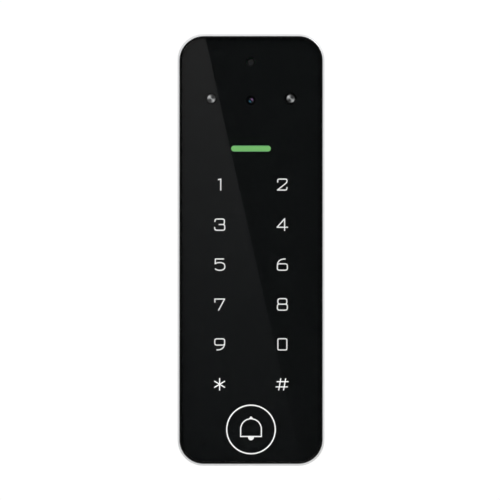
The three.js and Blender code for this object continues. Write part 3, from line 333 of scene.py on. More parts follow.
def make_reflected_panel():
    """A studio panel in front whose slanting edge shows in the glass, brighter towards the top."""
    top = BODY_HEIGHT / 2
    slope = (PANEL_EDGE_BOTTOM - PANEL_EDGE_TOP) / (2 * top)
    high = top + PANEL_REACH
    corners = (
        (PANEL_LEFT, high),
        (PANEL_EDGE_TOP - slope * PANEL_REACH, high),
        (PANEL_EDGE_BOTTOM + slope * PANEL_REACH, -high),
        (PANEL_LEFT, -high),
    )
    material, n = new_material("reflected_panel")
    rise = n.map_range(n.axes()[2], -top, top, 0.0, 1.0, smooth=False)
    strength = n.math("MULTIPLY", n.math("POWER", rise, 1.35), 0.280)
    n.show(n.add("ShaderNodeEmission", {
        "Color": n.ramp(rise, ((0.0, (0.97, 1.0, 1.06)), (1.0, (1.03, 1.0, 0.985)))),
        "Strength": n.math("ADD", strength, FRONT_GLOW + 0.022),
    }))
    panel = stage_plane("reflected_panel", [(x, -PANEL_DISTANCE, z) for x, z in corners], material)
    panel.visible_camera = False
    panel.visible_shadow = False
    panel.visible_diffuse = False


def make_floor():
    material, n, shader = surface("floor")
    pale = n.shades(n.noise(6.0), (0.76, 0.76, 0.75), (0.79, 0.79, 0.78))
    n.feed(shader, {"Base Color": pale, "Roughness": 0.6})
    corners = ((-1, -1), (1, -1), (1, 1), (-1, 1))
    stage_plane("floor", [(x * FLOOR_HALF, y * FLOOR_HALF, FLOOR_Z) for x, y in corners], material)


def light_scene():
    bpy.context.scene.view_settings.view_transform = "Standard"
    make_camera()
    make_world()
    make_reflected_panel()
    make_floor()
    area_light("key", (-0.5, -1.1, 0.6), 0.7, 0.7, 4.2)
    area_light("rim", (0.8, 0.7, 0.8), 0.5, 0.8, 6.0)


# ------------------------------------------------------------------ materials


def finish_of(name, dark, light, rough, metal=0.0, grain=900.0, bump=0.15, depth=0.02, stretch=(1, 1, 1)):
    """A finish whose colour, roughness and surface vary: dark to light colour, rough = (low, high)."""
    material, n, shader = surface(name)
    patches = n.noise(grain * 0.12, 4.0, stretch)
    n.feed(shader, {
        "Base Color": n.shades(patches, dark, light),
        "Roughness": n.vary(patches, *rough),
        "Metallic": metal,
        "Normal": n.bump(n.noise(grain, 2.0, stretch), bump, depth),
    })
    return material


def grey_finish(name, dark, light, rough, **options):
    return finish_of(name, (dark,) * 3, (light,) * 3, rough, **options)


def glass_material():
    """Clear glass that lets the studio's light reach the ink behind it."""
    material, n = new_material("cover_glass")
    glass = n.add("ShaderNodeBsdfPrincipled", {
        "Base Color": (0.93, 0.96, 0.97),
        "Transmission Weight": 1.0,
        "IOR": 1.5,
        "Roughness": n.vary(n.noise(30.0), 0.0, 0.003),
    })
    clear = n.add("ShaderNodeBsdfTransparent", {"Color": (0.9, 0.92, 0.92)})
    n.show(n.mix(n.add("ShaderNodeLightPath").outputs["Is Shadow Ray"], glass, clear))
    return material


def bond_material():
    """The back of the glass: its ink is bonded on, so no light is mirrored there."""
    material, n = new_material("bonded_glass_back")
    clear = n.shades(n.noise(400.0), (0.97, 0.97, 0.97), (1.0, 1.0, 1.0))
    n.show(n.add("ShaderNodeBsdfTransparent", {"Color": clear}))
    return material


def ink_material(name, level=1.0):
    """Black ink printed behind the glass: it has no gloss of its own. level lightens it."""
    material, n, shader = surface(name)
    dark = tuple(level * channel for channel in (0.0103, 0.0114, 0.0117))
    light = tuple(level * channel for channel in (0.0113, 0.0124, 0.0127))
    black = n.shades(n.noise(400.0), dark, light)
    n.feed(shader, {"Base Color": black, "Roughness": 0.7, "Specular IOR Level": 0.0})
    return material


def edge_material(name):
    """Deep, dull black: the glass's inked sides and its rounded front edge, where the black is painted shade
    for the dark band of the polished edge, and the cups that shade the lenses.
    """
    material, n, shader = surface(name)
    n.feed(shader, {
        "Base Color": n.shades(n.noise(900.0), (0.001, 0.001, 0.001), (0.002, 0.002, 0.002)),
        "Roughness": n.vary(n.noise(700.0), 0.2, 0.3),
        "Specular IOR Level": 0.08,
    })
    return material


def lit_material(name, colour, strength, spread):
    """Translucent ink or plastic lit from behind, a little uneven like the light behind it."""
    material, n, shader = surface(name)
    dim = tuple(channel * (1 - spread) for channel in colour)
    n.feed(shader, {
        "Base Color": (0.12, 0.12, 0.12),
        "Roughness": 0.5,
        "Specular IOR Level": 0.0,
        "Emission Color": n.ramp(n.noise(260.0, 1.0), ((0.25, dim), (0.75, colour))),
        "Emission Strength": strength,
    })
    return material


def board_material():
    """Green solder mask over copper tracks that run up and down and across."""
    material, n, shader = surface("circuit_board")
    place = n.add("ShaderNodeTexCoord").outputs["Object"]
    upright = n.add("ShaderNodeMapping", {"Vector": place, "Rotation": (math.radians(90), 0, 0)})
    tracks = n.add("ShaderNodeTexBrick", {
        "Vector": upright.outputs[0],
        "Scale": 260.0,
        "Mortar Size": 0.035,
        "Color1": (0.012, 0.085, 0.04),
        "Color2": (0.010, 0.070, 0.034),
        "Mortar": (0.03, 0.16, 0.07),
    })
    n.feed(shader, {
        "Base Color": tracks.outputs["Color"],
        "Roughness": n.vary(n.noise(300.0), 0.25, 0.4),
        "Normal": n.bump(tracks.outputs["Fac"], 0.2, 0.03),
    })
    return material


def green_light_material():
    """The status bar: even green light that dims a little towards its edges."""
    material, n, shader = surface("green_light")
    off = n.math("ABSOLUTE", n.from_middle(2, centre("light_bar_diffuser").z))
    edge = n.map_range(off, 0.75, 1.2, 0.0, 1.0)
    n.feed(shader, {
        "Base Color": (0.02, 0.05, 0.02),
        "Roughness": n.vary(n.noise(400.0), 0.4, 0.6),
        "Emission Color": n.ramp(edge, ((0.0, (0.165, 0.465, 0.128)), (1.0, (0.12, 0.38, 0.15)))),
        "Emission Strength": 1.0,
    })
    return material


def brushed_steel():
    """Rolled, zinc-plated sheet: long fine grain and cloudy patches."""
    return finish_of(
        "zinc_plated_steel", (0.42, 0.43, 0.45), (0.60, 0.60, 0.60), (0.30, 0.46),
        metal=1.0, grain=1400.0, bump=0.22, depth=0.02, stretch=(1, 1, 0.12),
    )


def satin_metal():
    """Fine blasted metal."""
    return finish_of(
        "satin_metal", (0.76, 0.77, 0.78), (0.785, 0.795, 0.805), (0.28, 0.31),
        metal=1.0, grain=5200.0, bump=0.05, depth=0.006,
    )


def moulded_plastic(name, dark, light, rough=(0.45, 0.6)):
    """Moulded plastic with a spark-eroded texture."""
    return finish_of(name, dark, light, rough, grain=4200.0, bump=0.35, depth=0.03)


def black_moulding(name):
    return moulded_plastic(name, (0.012, 0.012, 0.013), (0.022, 0.022, 0.023))


# ------------------------------------------------------------------ shapes


def rounded_rectangle(width, height, radius, steps=12, middle=(0.0, 0.0)):
    """Points round a rounded rectangle in x and z, anticlockwise seen from the front."""
    points = []
    for quarter, (side_x, side_z) in enumerate(((1, 1), (-1, 1), (-1, -1), (1, -1))):
        corner_x = middle[0] + side_x * (width / 2 - radius)
        corner_z = middle[1] + side_z * (height / 2 - radius)
        for step in range(steps + 1):
            angle = math.pi / 2 * (quarter + step / steps)
            points.append((corner_x + radius * math.cos(angle), corner_z + radius * math.sin(angle)))
    return points


def inset_outline(width, height, radius, steps=12, middle=(0.0, 0.0)):
    """A function that gives a rounded rectangle moved inwards by its argument."""
    def outline_at(inset):
        return rounded_rectangle(width - 2 * inset, height - 2 * inset, radius - inset, steps, middle)
    return outline_at


body_outline = inset_outline(BODY_WIDTH, BODY_HEIGHT, CORNER)


def angles(sides):
    return [2 * math.pi * i / sides for i in range(sides)]


def circle(radius, sides=48, middle=(0.0, 0.0)):
    """Points round a circle. radius is a number, or a function of the direction."""
    points = []
    for angle in angles(sides):
        reach = radius(angle) if callable(radius) else radius
        points.append((middle[0] + reach * math.cos(angle), middle[1] + reach * math.sin(angle)))
    return points


def quarter_turn(steps):
    """(1 - cos, 1 - sin) through a quarter turn: from (0, 1) to (1, 0)."""
    turns = [math.pi / 2 * step / steps for step in range(steps + 1)]
    return [(1 - math.cos(turn), 1 - math.sin(turn)) for turn in turns]


def new_object(name, vertices, faces):
    mesh = bpy.data.meshes.new(name)
    mesh.from_pydata(vertices, [], faces)
    mesh.validate()
    made = add_object(name, mesh)
    outward(made)
    return made


def outward(piece):
    """Merges doubled points and turns all faces outwards."""
    work = bmesh.new()
    work.from_mesh(piece.data)
    bmesh.ops.remove_doubles(work, verts=work.verts, dist=1e-8)
    bmesh.ops.recalc_face_normals(work, faces=work.faces)
    work.to_mesh(piece.data)
    work.free()


def loft(name, rings, loop=False):
    """A skin through rings of equally many points. It is capped at both ends, or joined in a loop."""
    count = len(rings[0])
    vertices = [point for ring in rings for point in ring]
    faces = []
    bands = len(rings) if loop else len(rings) - 1
    for band in range(bands):
        first = band * count
        second = (band + 1) % len(rings) * count
        for i in range(count):
            j = (i + 1) % count
            faces.append((first + i, first + j, second + j, second + i))
    if not loop:
        faces.append(tuple(range(count)))
        faces.append(tuple(range(len(vertices) - count, len(vertices))))
    return new_object(name, vertices, faces)


def ring_at(outline, y):
    return [(x, y, z) for x, z in outline]


def level_ring(outline, z):
    return [(x, y, z) for x, y in outline]


def prism(name, outline, back, front):
    return loft(name, [ring_at(outline, back), ring_at(outline, front)])


def softened_prism(name, outline_at, back, front, edge, steps=3):
    """A plate with rounded edges. outline_at(inset) gives the outline moved inwards."""
    rounding = quarter_turn(steps)
    rings = [ring_at(outline_at(edge * inset), back - edge * run) for run, inset in rounding]
    rings += [ring_at(outline_at(edge * inset), front + edge * run) for run, inset in reversed(rounding)]
    return loft(name, rings)


def turned(name, profile, middle, sides=48, axis="Y"):
    """A body of revolution from (radius, place along the axis) pairs, about a line through middle."""
    rings = []
    for radius, along in profile:
        outline = circle(radius, sides, middle)
        if axis == "X":
            rings.append([(along, y, z) for y, z in outline])
        else:
            rings.append(ring_at(outline, along) if axis == "Y" else level_ring(outline, along))
    closes_on_itself = profile[0] == profile[-1]
    return loft(name, rings[:-1] if closes_on_itself else rings, loop=closes_on_itself)


def block(name, low, high):
    x0, y0, z0 = low
    x1, y1, z1 = high
    return prism(name, [(x1, z0), (x1, z1), (x0, z1), (x0, z0)], y1, y0)


def apply_modifiers(piece):
    bpy.context.view_layer.update()
    graph = bpy.context.evaluated_depsgraph_get()
    made = bpy.data.meshes.new_from_object(piece.evaluated_get(graph))
    piece.modifiers.clear()
    old = piece.data
    piece.data = made
    bpy.data.meshes.remove(old)


def combine(piece, tools, operation):
    """Cuts the tools from a piece, or joins them to it, and removes them."""
    for tool in tools:
        modifier = piece.modifiers.new(tool.name, "BOOLEAN")
        modifier.operation = operation
        modifier.solver = "EXACT"
        modifier.object = tool
    apply_modifiers(piece)
    for tool in tools:
        bpy.data.objects.remove(tool, do_unlink=True)
    outward(piece)
    return piece


def cut(piece, *tools):
    return combine(piece, tools, "DIFFERENCE")


def union(piece, *others):
    return combine(piece, others, "UNION")


def soften(piece, width, segments=2, angle=40):
    """Rounds a piece's sharp edges."""
    modifier = piece.modifiers.new("edges", "BEVEL")
    modifier.width = width
    modifier.segments = segments
    modifier.limit_method = "ANGLE"
    modifier.angle_limit = math.radians(angle)
    modifier.use_clamp_overlap = True
    apply_modifiers(piece)
    return piece


def gather(name, parts):
    """One object from several separate ones."""
    work = bmesh.new()
    for part in parts:
        work.from_mesh(part.data)
        bpy.data.objects.remove(part, do_unlink=True)
    mesh = bpy.data.meshes.new(name)
    work.to_mesh(mesh)
    work.free()
    return add_object(name, mesh)


def shade(piece, angle):
    """Smooth shading that keeps real edges sharp and flat faces flat."""
    for face in piece.data.polygons:
        face.use_smooth = True
    piece.data.set_sharp_from_angle(angle=math.radians(angle))
    weighted = piece.modifiers.new("flat_faces", "WEIGHTED_NORMAL")
    weighted.keep_sharp = True
    weighted.weight = 80


def hand_over(piece, body, material, replaced=(), angle=32):
    """Gives a finished piece its material, shading and body, and hides the CAD nodes it stands for."""
    piece.data.materials.clear()
    piece.data.materials.append(material)
    shade(piece, angle)
    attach(piece, body)
    if replaced:
        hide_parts(*replaced)


# ------------------------------------------------------------------ housing


def housing_rings():
    """Rings round the housing's wall: outside from back to front, then inside from front to back."""
    rings = []

    def outside(inset, y):
        rings.append(ring_at(body_outline(inset), y))

    def inside(shape, y, wider=0.0):
        rings.append(ring_at(rounded_rectangle(*(value + wider for value in shape)), y))

    for run, inset in quarter_turn(4):
        outside(BACK_EDGE["inset"] * inset, HOUSING_BACK - BACK_EDGE["run"] * run)
    for inset, run in quarter_turn(6):
        outside(DRAFT + LIP["inset"] * inset, RIM_FRONT + LIP["run"] * run)
    pocket = (BODY_WIDTH - 2 * RIM, BODY_HEIGHT - 2 * RIM, CORNER - RIM)
    recess = (BODY_WIDTH - 2 * WALL, BODY_HEIGHT - 2 * WALL, CORNER - WALL)
    inside(pocket, RIM_FRONT, RIM_FLARE["wider"])
    inside(pocket, RIM_FRONT + RIM_FLARE["run"])
    inside(pocket, GLASS_SEAT)
    inside(HOLLOW, GLASS_SEAT)
    inside(HOLLOW, SHELF)
    inside(recess, SHELF)
    inside(recess, HOUSING_BACK - MOUTH["run"])
    inside(recess, HOUSING_BACK, MOUTH["wider"])
    return rings


def make_housing(metal):
    housing = loft("housing", housing_rings(), loop=True)
    bosses = []
    bores = []
    for place in screw_places("cover_screw"):
        bosses.append(prism("boss", circle(3.0 * MM, 40, place), SHELF, -17.9 * MM))
        bores.append(prism("bore", circle(1.5 * MM, 32, place), SHELF + MM, -15 * MM))
    half, back, front = 2.8 * MM, -12.65 * MM, -17.6 * MM
    for x, z in screw_places("board_screw"):
        wall_side = math.copysign(HOLLOW[0] / 2 + 0.5 * MM, x)
        bosses.append(prism("boss", circle(half, 40, (x, z)), back, front))
        bosses.append(block("web", (min(x, wall_side), front, z - half), (max(x, wall_side), back, z + half)))
        bores.append(prism("bore", circle(1.25 * MM, 32, (x, z)), back + MM, -17 * MM))
    lock_low = (-5.0 * MM, -6.6 * MM, RECESS_BOTTOM - 0.5 * MM)
    lock_high = (5.0 * MM, -1.7 * MM, RECESS_BOTTOM + 1.8 * MM)
    bosses.append(soften(block("lock_boss", lock_low, lock_high), 0.4 * MM))
    union(housing, *bosses)
    cut(housing, *bores, lock_hole(), *sound_slots(), reset_hole())
    hand_over(housing, "reader", metal, ["front_housing"])


def lock_hole():
    """The stepped hole for the locking screw, with a small chamfer at its mouth."""
    axis = 0.01 * MM
    under = BODY_BOTTOM - MM
    head = SCREW_HEAD + 0.35 * MM
    seat = RECESS_BOTTOM + 0.05 * MM
    passing = SCREW_RADIUS + 0.3 * MM
    top = RECESS_BOTTOM + 3 * MM
    flare = 0.3 * MM
    profile = [
        (axis, under), (head + flare + MM, under), (head, BODY_BOTTOM + flare), (head, seat),
        (passing, seat), (passing, top), (axis, top),
    ]
    return turned("lock_hole", profile, (0, LOCK_Y), axis="Z")


def sound_slots():
    """Seven round-ended slots through the bottom wall, each with a flared mouth."""
    flare = 0.6 * MM
    top = -HOLLOW[1] / 2 + MM
    made = []
    for i in range(-3, 4):
        rings = []
        for grow, z in ((flare, BODY_BOTTOM - 0.2 * MM), (0.0, BODY_BOTTOM + 0.75 * MM), (0.0, top)):
            width, depth = (value + grow for value in SLOT_SIZE)
            outline = rounded_rectangle(width, depth, width / 2 - 0.01 * MM, 6, (i * SLOT_PITCH, SLOT_Y))
            rings.append(level_ring(outline, z))
        made.append(loft("slot", rings))
    return made


def reset_hole():
    """The pinhole in the right side, with a sunk mouth."""
    outside = BODY_WIDTH / 2
    profile = [
        (0.65 * MM, HOLLOW[0] / 2 - MM), (0.65 * MM, outside - 0.9 * MM),
        (1.5 * MM, outside + 0.3 * MM),
    ]
    return turned("reset_hole", profile, (RESET_Y, RESET_Z), 32, "X")


# ------------------------------------------------------------------ front glass and its prints


def make_glass(material, edge_ink_and_shade, bond):
    width, _, height = size("glass_panel")
    outline_at = inset_outline(width, height, CORNER - RIM - GLASS_GAP, 16)
    rings = [
        ring_at(outline_at(GLASS_CHAMFER), GLASS_HIGH.y),
        ring_at(outline_at(0.0), GLASS_HIGH.y - GLASS_CHAMFER),
    ]
    for inset, run in quarter_turn(10):
        rings.append(ring_at(outline_at(GLASS_EDGE * inset), GLASS_LOW.y + GLASS_EDGE * run))
    glass = loft("front_glass", rings)
    hole = centre("mic_boot")
    through = (GLASS_HIGH.y + MM, GLASS_LOW.y - MM)
    cut(glass, prism("mic_hole", circle(MIC_HOLE, 40, (hole.x, hole.z)), *through))
    hand_over(glass, "reader", material, ["glass_panel"])
    glass.data.materials.append(edge_ink_and_shade)
    glass.data.materials.append(bond)
    # The sides, back chamfer and rounded front edge take the dull black: ink on the sides, and painted shade
    # on the polished rounding for its dark band.
    for face in glass.data.polygons:
        if face.normal.y > 0.99:
            face.material_index = 2
        elif face.normal.y > -0.99:
            face.material_index = 1


def make_dark_gap_bead(rubber):
    """A black bead that fills the gap between the glass and the metal rim, so the gap shows dark."""
    outer, inner = RIM + 0.01 * MM, RIM + GLASS_GAP - 0.01 * MM
    back, front = GLASS_SEAT - 0.05 * MM, RIM_FRONT + 0.35 * MM
    section = ((outer, back), (outer, front), (inner, front), (inner, back))
    gap_bead = loft("dark_gap_bead", [ring_at(body_outline(inset), y) for inset, y in section], loop=True)
    hand_over(gap_bead, "reader", rubber)


def make_sound_port(cloth):
    """A small mesh in the microphone's boot, behind the hole in the glass."""
    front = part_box("mic_boot")[0].y
    middle = centre("mic_boot")
    outline = circle(0.86 * MM, 40, (middle.x, middle.z))
    disc = prism("sound_port_mesh", outline, front + 0.3 * MM, front + 0.15 * MM)
    hand_over(disc, "reader", cloth)


# Centre-lines of the signs, in millimetres about the middle of the key. Each stroke starts at a
# point and goes on by lines (x, z) and by curves through a control point (cx, cz, x, z).
SIGN_LINES = {
    "1": (
        ((-0.5, 1.95), (0.45, 2.2)),
        ((0.45, 2.2), (0.45, -2.2)),
    ),
    "2": (
        ((-1.85, 1.0), (-1.85, 1.6), (-1.85, 2.2, -1.2, 2.2), (1.2, 2.2), (1.85, 2.2, 1.85, 1.5),
         (1.85, 0.9, 1.4, 0.5), (-1.95, -2.2)),
        ((-1.95, -2.2), (1.2, -2.2), (1.85, -2.2, 1.85, -1.2)),
    ),
    "3": (
        ((-1.9, 1.2), (-1.9, 2.2, -1.1, 2.2), (1.1, 2.2), (1.9, 2.2, 1.9, 1.4), (1.9, 0.9),
         (1.9, 0.0, 1.1, 0.0), (-0.2, 0.0)),
        ((1.1, 0.0), (2.05, 0.0, 2.05, -0.8), (2.05, -1.5), (2.05, -2.3, 1.3, -2.3), (-1.2, -2.3),
         (-2.0, -2.3, -2.0, -1.2)),
    ),
    "4": (
        ((0.9, 2.3), (-2.1, -1.1)),
        ((-2.1, -1.1), (2.1, -1.1)),
        ((0.9, 2.3), (0.9, -2.4)),
    ),
    "5": (
        ((1.6, 2.2), (-1.7, 2.2)),
        ((-1.7, 2.2), (-1.8, 0.3)),
        ((-1.8, 0.3), (-1.0, 0.75, 0.0, 0.75), (2.1, 0.75, 2.1, -0.8), (2.1, -2.35, 0.0, -2.35),
         (-1.1, -2.35, -1.7, -1.8)),
    ),
    "6": (
        ((1.1, 2.2), (-2.0, 2.2, -2.0, -0.6), (-2.0, -1.5), (-2.0, -2.3, -1.2, -2.3), (1.1, -2.3),
         (2.0, -2.3, 2.0, -1.5), (2.0, -0.6)),
        ((2.0, -0.6), (2.0, 0.25, 1.1, 0.25), (-1.2, 0.25), (-1.7, 0.2, -1.95, -0.2)),
    ),
    "7": (
        ((-1.9, 0.9), (-1.9, 2.15)),
        ((-1.9, 2.15), (2.0, 2.15)),
        ((2.0, 2.15), (-0.4, -2.3)),
    ),
    "8": (
        ((-0.85, 0.1), (-1.8, 0.1, -1.8, 0.95), (-1.8, 1.45), (-1.8, 2.3, -0.85, 2.3), (0.85, 2.3),
         (1.8, 2.3, 1.8, 1.45), (1.8, 0.95), (1.8, 0.1, 0.85, 0.1), (-0.85, 0.1)),
        ((-1.1, 0.1), (-2.0, 0.1, -2.0, -0.8), (-2.0, -1.4), (-2.0, -2.3, -1.1, -2.3), (1.1, -2.3),
         (2.0, -2.3, 2.0, -1.4), (2.0, -0.8), (2.0, 0.1, 1.1, 0.1), (-1.1, 0.1)),
    ),
    "9": (
        ((-1.1, -2.25), (2.0, -2.25, 2.0, 0.6), (2.0, 1.4), (2.0, 2.2, 1.2, 2.2), (-1.1, 2.2),
         (-1.95, 2.2, -1.95, 1.4), (-1.95, 0.5)),
        ((-1.95, 0.5), (-1.95, -0.3, -1.1, -0.3), (1.2, -0.3), (1.7, -0.25, 1.95, 0.15)),
    ),
    "0": (
        ((-1.2, -2.25), (1.2, -2.25), (1.8, -2.25, 1.8, -1.65), (1.8, 1.65), (1.8, 2.25, 1.2, 2.25),
         (-1.2, 2.25), (-1.8, 2.25, -1.8, 1.65), (-1.8, -1.65), (-1.8, -2.25, -1.2, -2.25)),
    ),
    "*": (
        ((0.0, 2.3), (0.0, -2.3)),
        ((-2.0, 1.2), (2.0, -1.2)),
        ((-2.0, -1.2), (2.0, 1.2)),
    ),
    "#": (
        ((-0.65, 2.2), (-1.45, -2.25)),
        ((1.3, 2.2), (0.5, -2.25)),
        ((-2.1, 1.05), (2.3, 1.05)),
        ((-2.5, -1.05), (2.0, -1.05)),
    ),
}
SIGN_NAMES = {"*": "star", "#": "hash"}


def stroke_points(stroke, curve_steps=7):
    """Points along a stroke's centre-line, its curves worked out."""
    points = [Vector(stroke[0])]
    for move in stroke[1:]:
        if len(move) == 2:
            points.append(Vector(move))
            continue
        start, control, end = points[-1], Vector(move[:2]), Vector(move[2:])
        for step in range(1, curve_steps + 1):
            t = step / curve_steps
            points.append(start * (1 - t) ** 2 + control * (2 * t * (1 - t)) + end * t ** 2)
    return points


def offset_line(line, distance, closed):
    """A line moved sideways, with mitred corners."""
    count = len(line)
    moved = []
    for i, point in enumerate(line):
        entering = (point - line[i - 1]).normalized() if i > 0 or closed else None
        leaving = (line[(i + 1) % count] - point).normalized() if i < count - 1 or closed else None
        entering = entering or leaving
        leaving = leaving or entering
        along = (entering + leaving).normalized()
        reach = distance / along.dot(leaving)
        moved.append(Vector((point.x - along.y * reach, point.y + along.x * reach)))
    return moved


def round_end(middle, start, steps=8):
    """Points on a half circle about an end of a stroke, from one side to the other."""
    arm = start - middle
    return [middle + Matrix.Rotation(-math.pi * step / steps, 2) @ arm for step in range(1, steps)]


def area_of(points):
    return sum(a.x * b.y - b.x * a.y for a, b in zip(points, points[1:] + points[:1])) / 2


def ink(outline, place):
    """A thin inlay of ink with an outline in millimetres about a place on the glass."""
    shifted = [(place[0] + x * MM, place[1] + y * MM) for x, y in outline]
    front = INK_FRONT - INK_PROUD
    return prism("ink", shifted, front + INK_THICKNESS, front)


def ink_stroke(stroke, place):
    points = stroke_points(stroke)
    closed = (points[0] - points[-1]).length < 1e-6
    line = points[:-1] if closed else points
    left = offset_line(line, SIGN_STROKE / 2, closed)
    right = offset_line(line, -SIGN_STROKE / 2, closed)
    if closed:
        outer, inner = sorted((left, right), key=lambda side: -abs(area_of(side)))
        return hollow_ink(outer, inner, place)
    outline = left + round_end(points[-1], left[-1]) + right[::-1] + round_end(points[0], right[0])
    return ink(outline, place)


def hollow_ink(outer, inner, place):
    """A closed band of ink between two outlines with equally many points."""
    front = INK_FRONT - INK_PROUD
    rings = []
    for outline, y in (
        (outer, front + INK_THICKNESS), (outer, front), (inner, front), (inner, front + INK_THICKNESS),
    ):
        rings.append([(place[0] + x * MM, y, place[1] + z * MM) for x, z in outline])
    return loft("ink", rings, loop=True)


def make_sign(sign, place, material):
    strokes = [ink_stroke(stroke, place) for stroke in SIGN_LINES[sign]]
    piece = strokes[0]
    if len(strokes) > 1:
        union(piece, *strokes[1:])
    piece.name = "sign_" + SIGN_NAMES.get(sign, sign)
    hand_over(piece, "reader", material)


def dome(half_width, base, steps=28):
    """The bell's outline: a half circle on straight sides."""
    points = [Vector((half_width, base))]
    for step in range(steps + 1):
        angle = math.pi * step / steps
        rise = half_width * math.sin(angle)
        points.append(Vector((half_width * math.cos(angle), BELL_SPRING_LINE + rise)))
    points.append(Vector((-half_width, base)))
    return points


def make_bell(material):
    place = (0.0, BELL_Z)
    half_ring = BELL_RING_STROKE / 2
    ring = hollow_ink(
        circle(BELL_RING_RADIUS + half_ring, 96), circle(BELL_RING_RADIUS - half_ring, 96), place
    )
    ring.name = "bell_ring"
    hand_over(ring, "reader", material)
    half = SIGN_STROKE / 2
    bell = hollow_ink(
        dome(BELL_HALF_WIDTH + half, BELL_BASE - half), dome(BELL_HALF_WIDTH - half, BELL_BASE + half), place
    )
    crown = BELL_SPRING_LINE + BELL_HALF_WIDTH
    tip = ink([(-0.9, crown), (0.9, crown), (0.2, crown + 0.95), (-0.2, crown + 0.95)], place)
    swing = [math.pi * (1 + step / 16) for step in range(17)]
    clapper = ink([(1.25 * math.cos(a), BELL_BASE + 1.55 * math.sin(a)) for a in swing], place)
    union(bell, tip, clapper)
    bell.name = "bell_sign"
    hand_over(bell, "reader", material)


def make_prints(sign_light, bell_light):
    for row, pair in enumerate(KEY_SIGNS):
        for column, sign in enumerate(pair):
            place = ((2 * column - 1) * KEY_COLUMN, KEY_TOP_ROW - row * KEY_PITCH)
            make_sign(sign, place, bell_light if sign in SIGN_NAMES else sign_light)
    make_bell(bell_light)


# ------------------------------------------------------------------ lamps, camera and sensor


def polar(n, middle):
    """Radius in millimetres and direction in radians about a point of the front."""
    across = n.from_middle(0, middle.x)
    up = n.from_middle(2, middle.z)
    radius = n.math("SQRT", n.math("ADD", n.math("POWER", across, 2.0), n.math("POWER", up, 2.0)))
    return radius, n.math("ARCTAN2", up, across)


def lobe(n, angle, degrees, sharpness, turns=1.0):
    """1 where the direction is the given one, falling away either side. turns = 2 gives both ends."""
    off = n.math("MULTIPLY", n.math("SUBTRACT", angle, math.radians(degrees)), turns)
    wave = n.math("MULTIPLY", n.math("ADD", n.math("COSINE", off), 1.0), 0.5)
    return n.math("POWER", wave, sharpness)


def painted_lamp_glint_material(side, middle):
    """A faceted lamp lens with painted highlights: emission paints where its facets would catch the light,
    along one diagonal, with a faint glint at its middle.
    """
    material, n, shader = surface(f"lamp_lens_{side}")
    radius, angle = polar(n, middle)
    # Painted highlights: the emitted lobes stand in for the glints that the lens's facets reflect.
    upper = n.math("MULTIPLY", lobe(n, angle, 141, 8.0), 0.50)
    lower = n.math("MULTIPLY", lobe(n, angle, -43, 8.0), 0.40)
    faint = n.math("MULTIPLY", lobe(n, angle, 50, 5.0, 2.0), 0.012)
    inner = n.map_range(radius, 0.0, 1.1, 0.45, 1.0)
    outer = n.map_range(radius, 1.4, 1.75, 1.0, 0.03)
    centre_glint = n.map_range(radius, 0.0, 0.6, 0.2, 0.0)
    glint_pattern = n.math("MULTIPLY", n.math("ADD", upper, lower, faint), n.math("MULTIPLY", inner, outer))
    speckle = n.vary(n.noise(1500.0, 2.0), 0.8, 1.1)
    light = n.math("MULTIPLY", n.math("ADD", glint_pattern, centre_glint, 0.006), speckle)
    n.feed(shader, {
        "Emission Color": n.colour(light, light, light),
        "Emission Strength": 1.0,
        "Base Color": (0.01, 0.01, 0.01),
        "Specular IOR Level": 0.15,
        "Roughness": 0.12,
    })
    return material


def make_lamp(side, plastic):
    """A lamp: a faceted lens in a black cup."""
    cup_node = f"led_cup_{side}"
    low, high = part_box(cup_node)
    middle = centre(cup_node)
    place = (middle.x, middle.z)
    cup = turned(f"lamp_cup_{side}", [
        (1.3 * MM, high.y), (2.9 * MM, high.y), (2.9 * MM, low.y + 0.15 * MM), (2.75 * MM, low.y),
        (2.3 * MM, low.y), (1.95 * MM, low.y + 0.8 * MM), (1.85 * MM, low.y + 1.2 * MM),
        (1.3 * MM, high.y - 1.0 * MM), (1.3 * MM, high.y),
    ], place)
    hand_over(cup, "reader", plastic, [cup_node])
    lens_back = low.y + 1.15 * MM
    facets = 8
    sides = facets * 6
    rings = []
    for radius, rise in ((1.8, 0.0), (1.8, 0.45), (1.6, 0.68), (1.1, 0.86), (0.55, 0.93), (0.12, 0.95)):
        ring = []
        for (x, z), angle in zip(circle(radius * MM, sides, place), angles(sides)):
            groove = 0.05 * abs(math.sin(angle * facets / 2)) if rise > 0.5 else 0.0
            ring.append((x, lens_back - (rise - groove) * MM, z))
        rings.append(ring)
    lens = loft(f"lamp_lens_{side}", rings)
    # The lens's light is a painted highlight, emitted by its material.
    hand_over(lens, "reader", painted_lamp_glint_material(side, middle), [f"white_led_{side}"], 20)


def camera_lens_painted_sheen_material(middle):
    """A coated lens: black, with painted reflections of its coating given as emission, purple at the upper
    right and blue below left.
    """
    material, n, shader = surface("camera_glass_painted_sheen")
    radius, angle = polar(n, middle)
    inner = n.map_range(radius, 0.1, 0.5, 0.0, 1.0)
    outer = n.map_range(radius, 0.7, 1.05, 1.0, 0.0)
    band = n.math("MULTIPLY", inner, outer)
    purple = n.math("MULTIPLY", lobe(n, angle, 42, 6.0), band)
    blue = n.math("MULTIPLY", lobe(n, angle, 225, 8.0), band)
    # Painted reflection: the coating's purple and blue glints are emitted, not reflected.
    painted_sheen_rgb = [
        n.math("ADD", n.math("MULTIPLY", purple, purple_share), n.math("MULTIPLY", blue, blue_share))
        for purple_share, blue_share in ((0.22, 0.02), (0.13, 0.12), (0.26, 0.19))
    ]
    n.feed(shader, {
        "Emission Color": n.colour(*painted_sheen_rgb),
        "Emission Strength": 1.0,
        "Base Color": (0.002, 0.002, 0.003),
        "Roughness": 0.03,
        "Specular IOR Level": 0.18,
    })
    return material


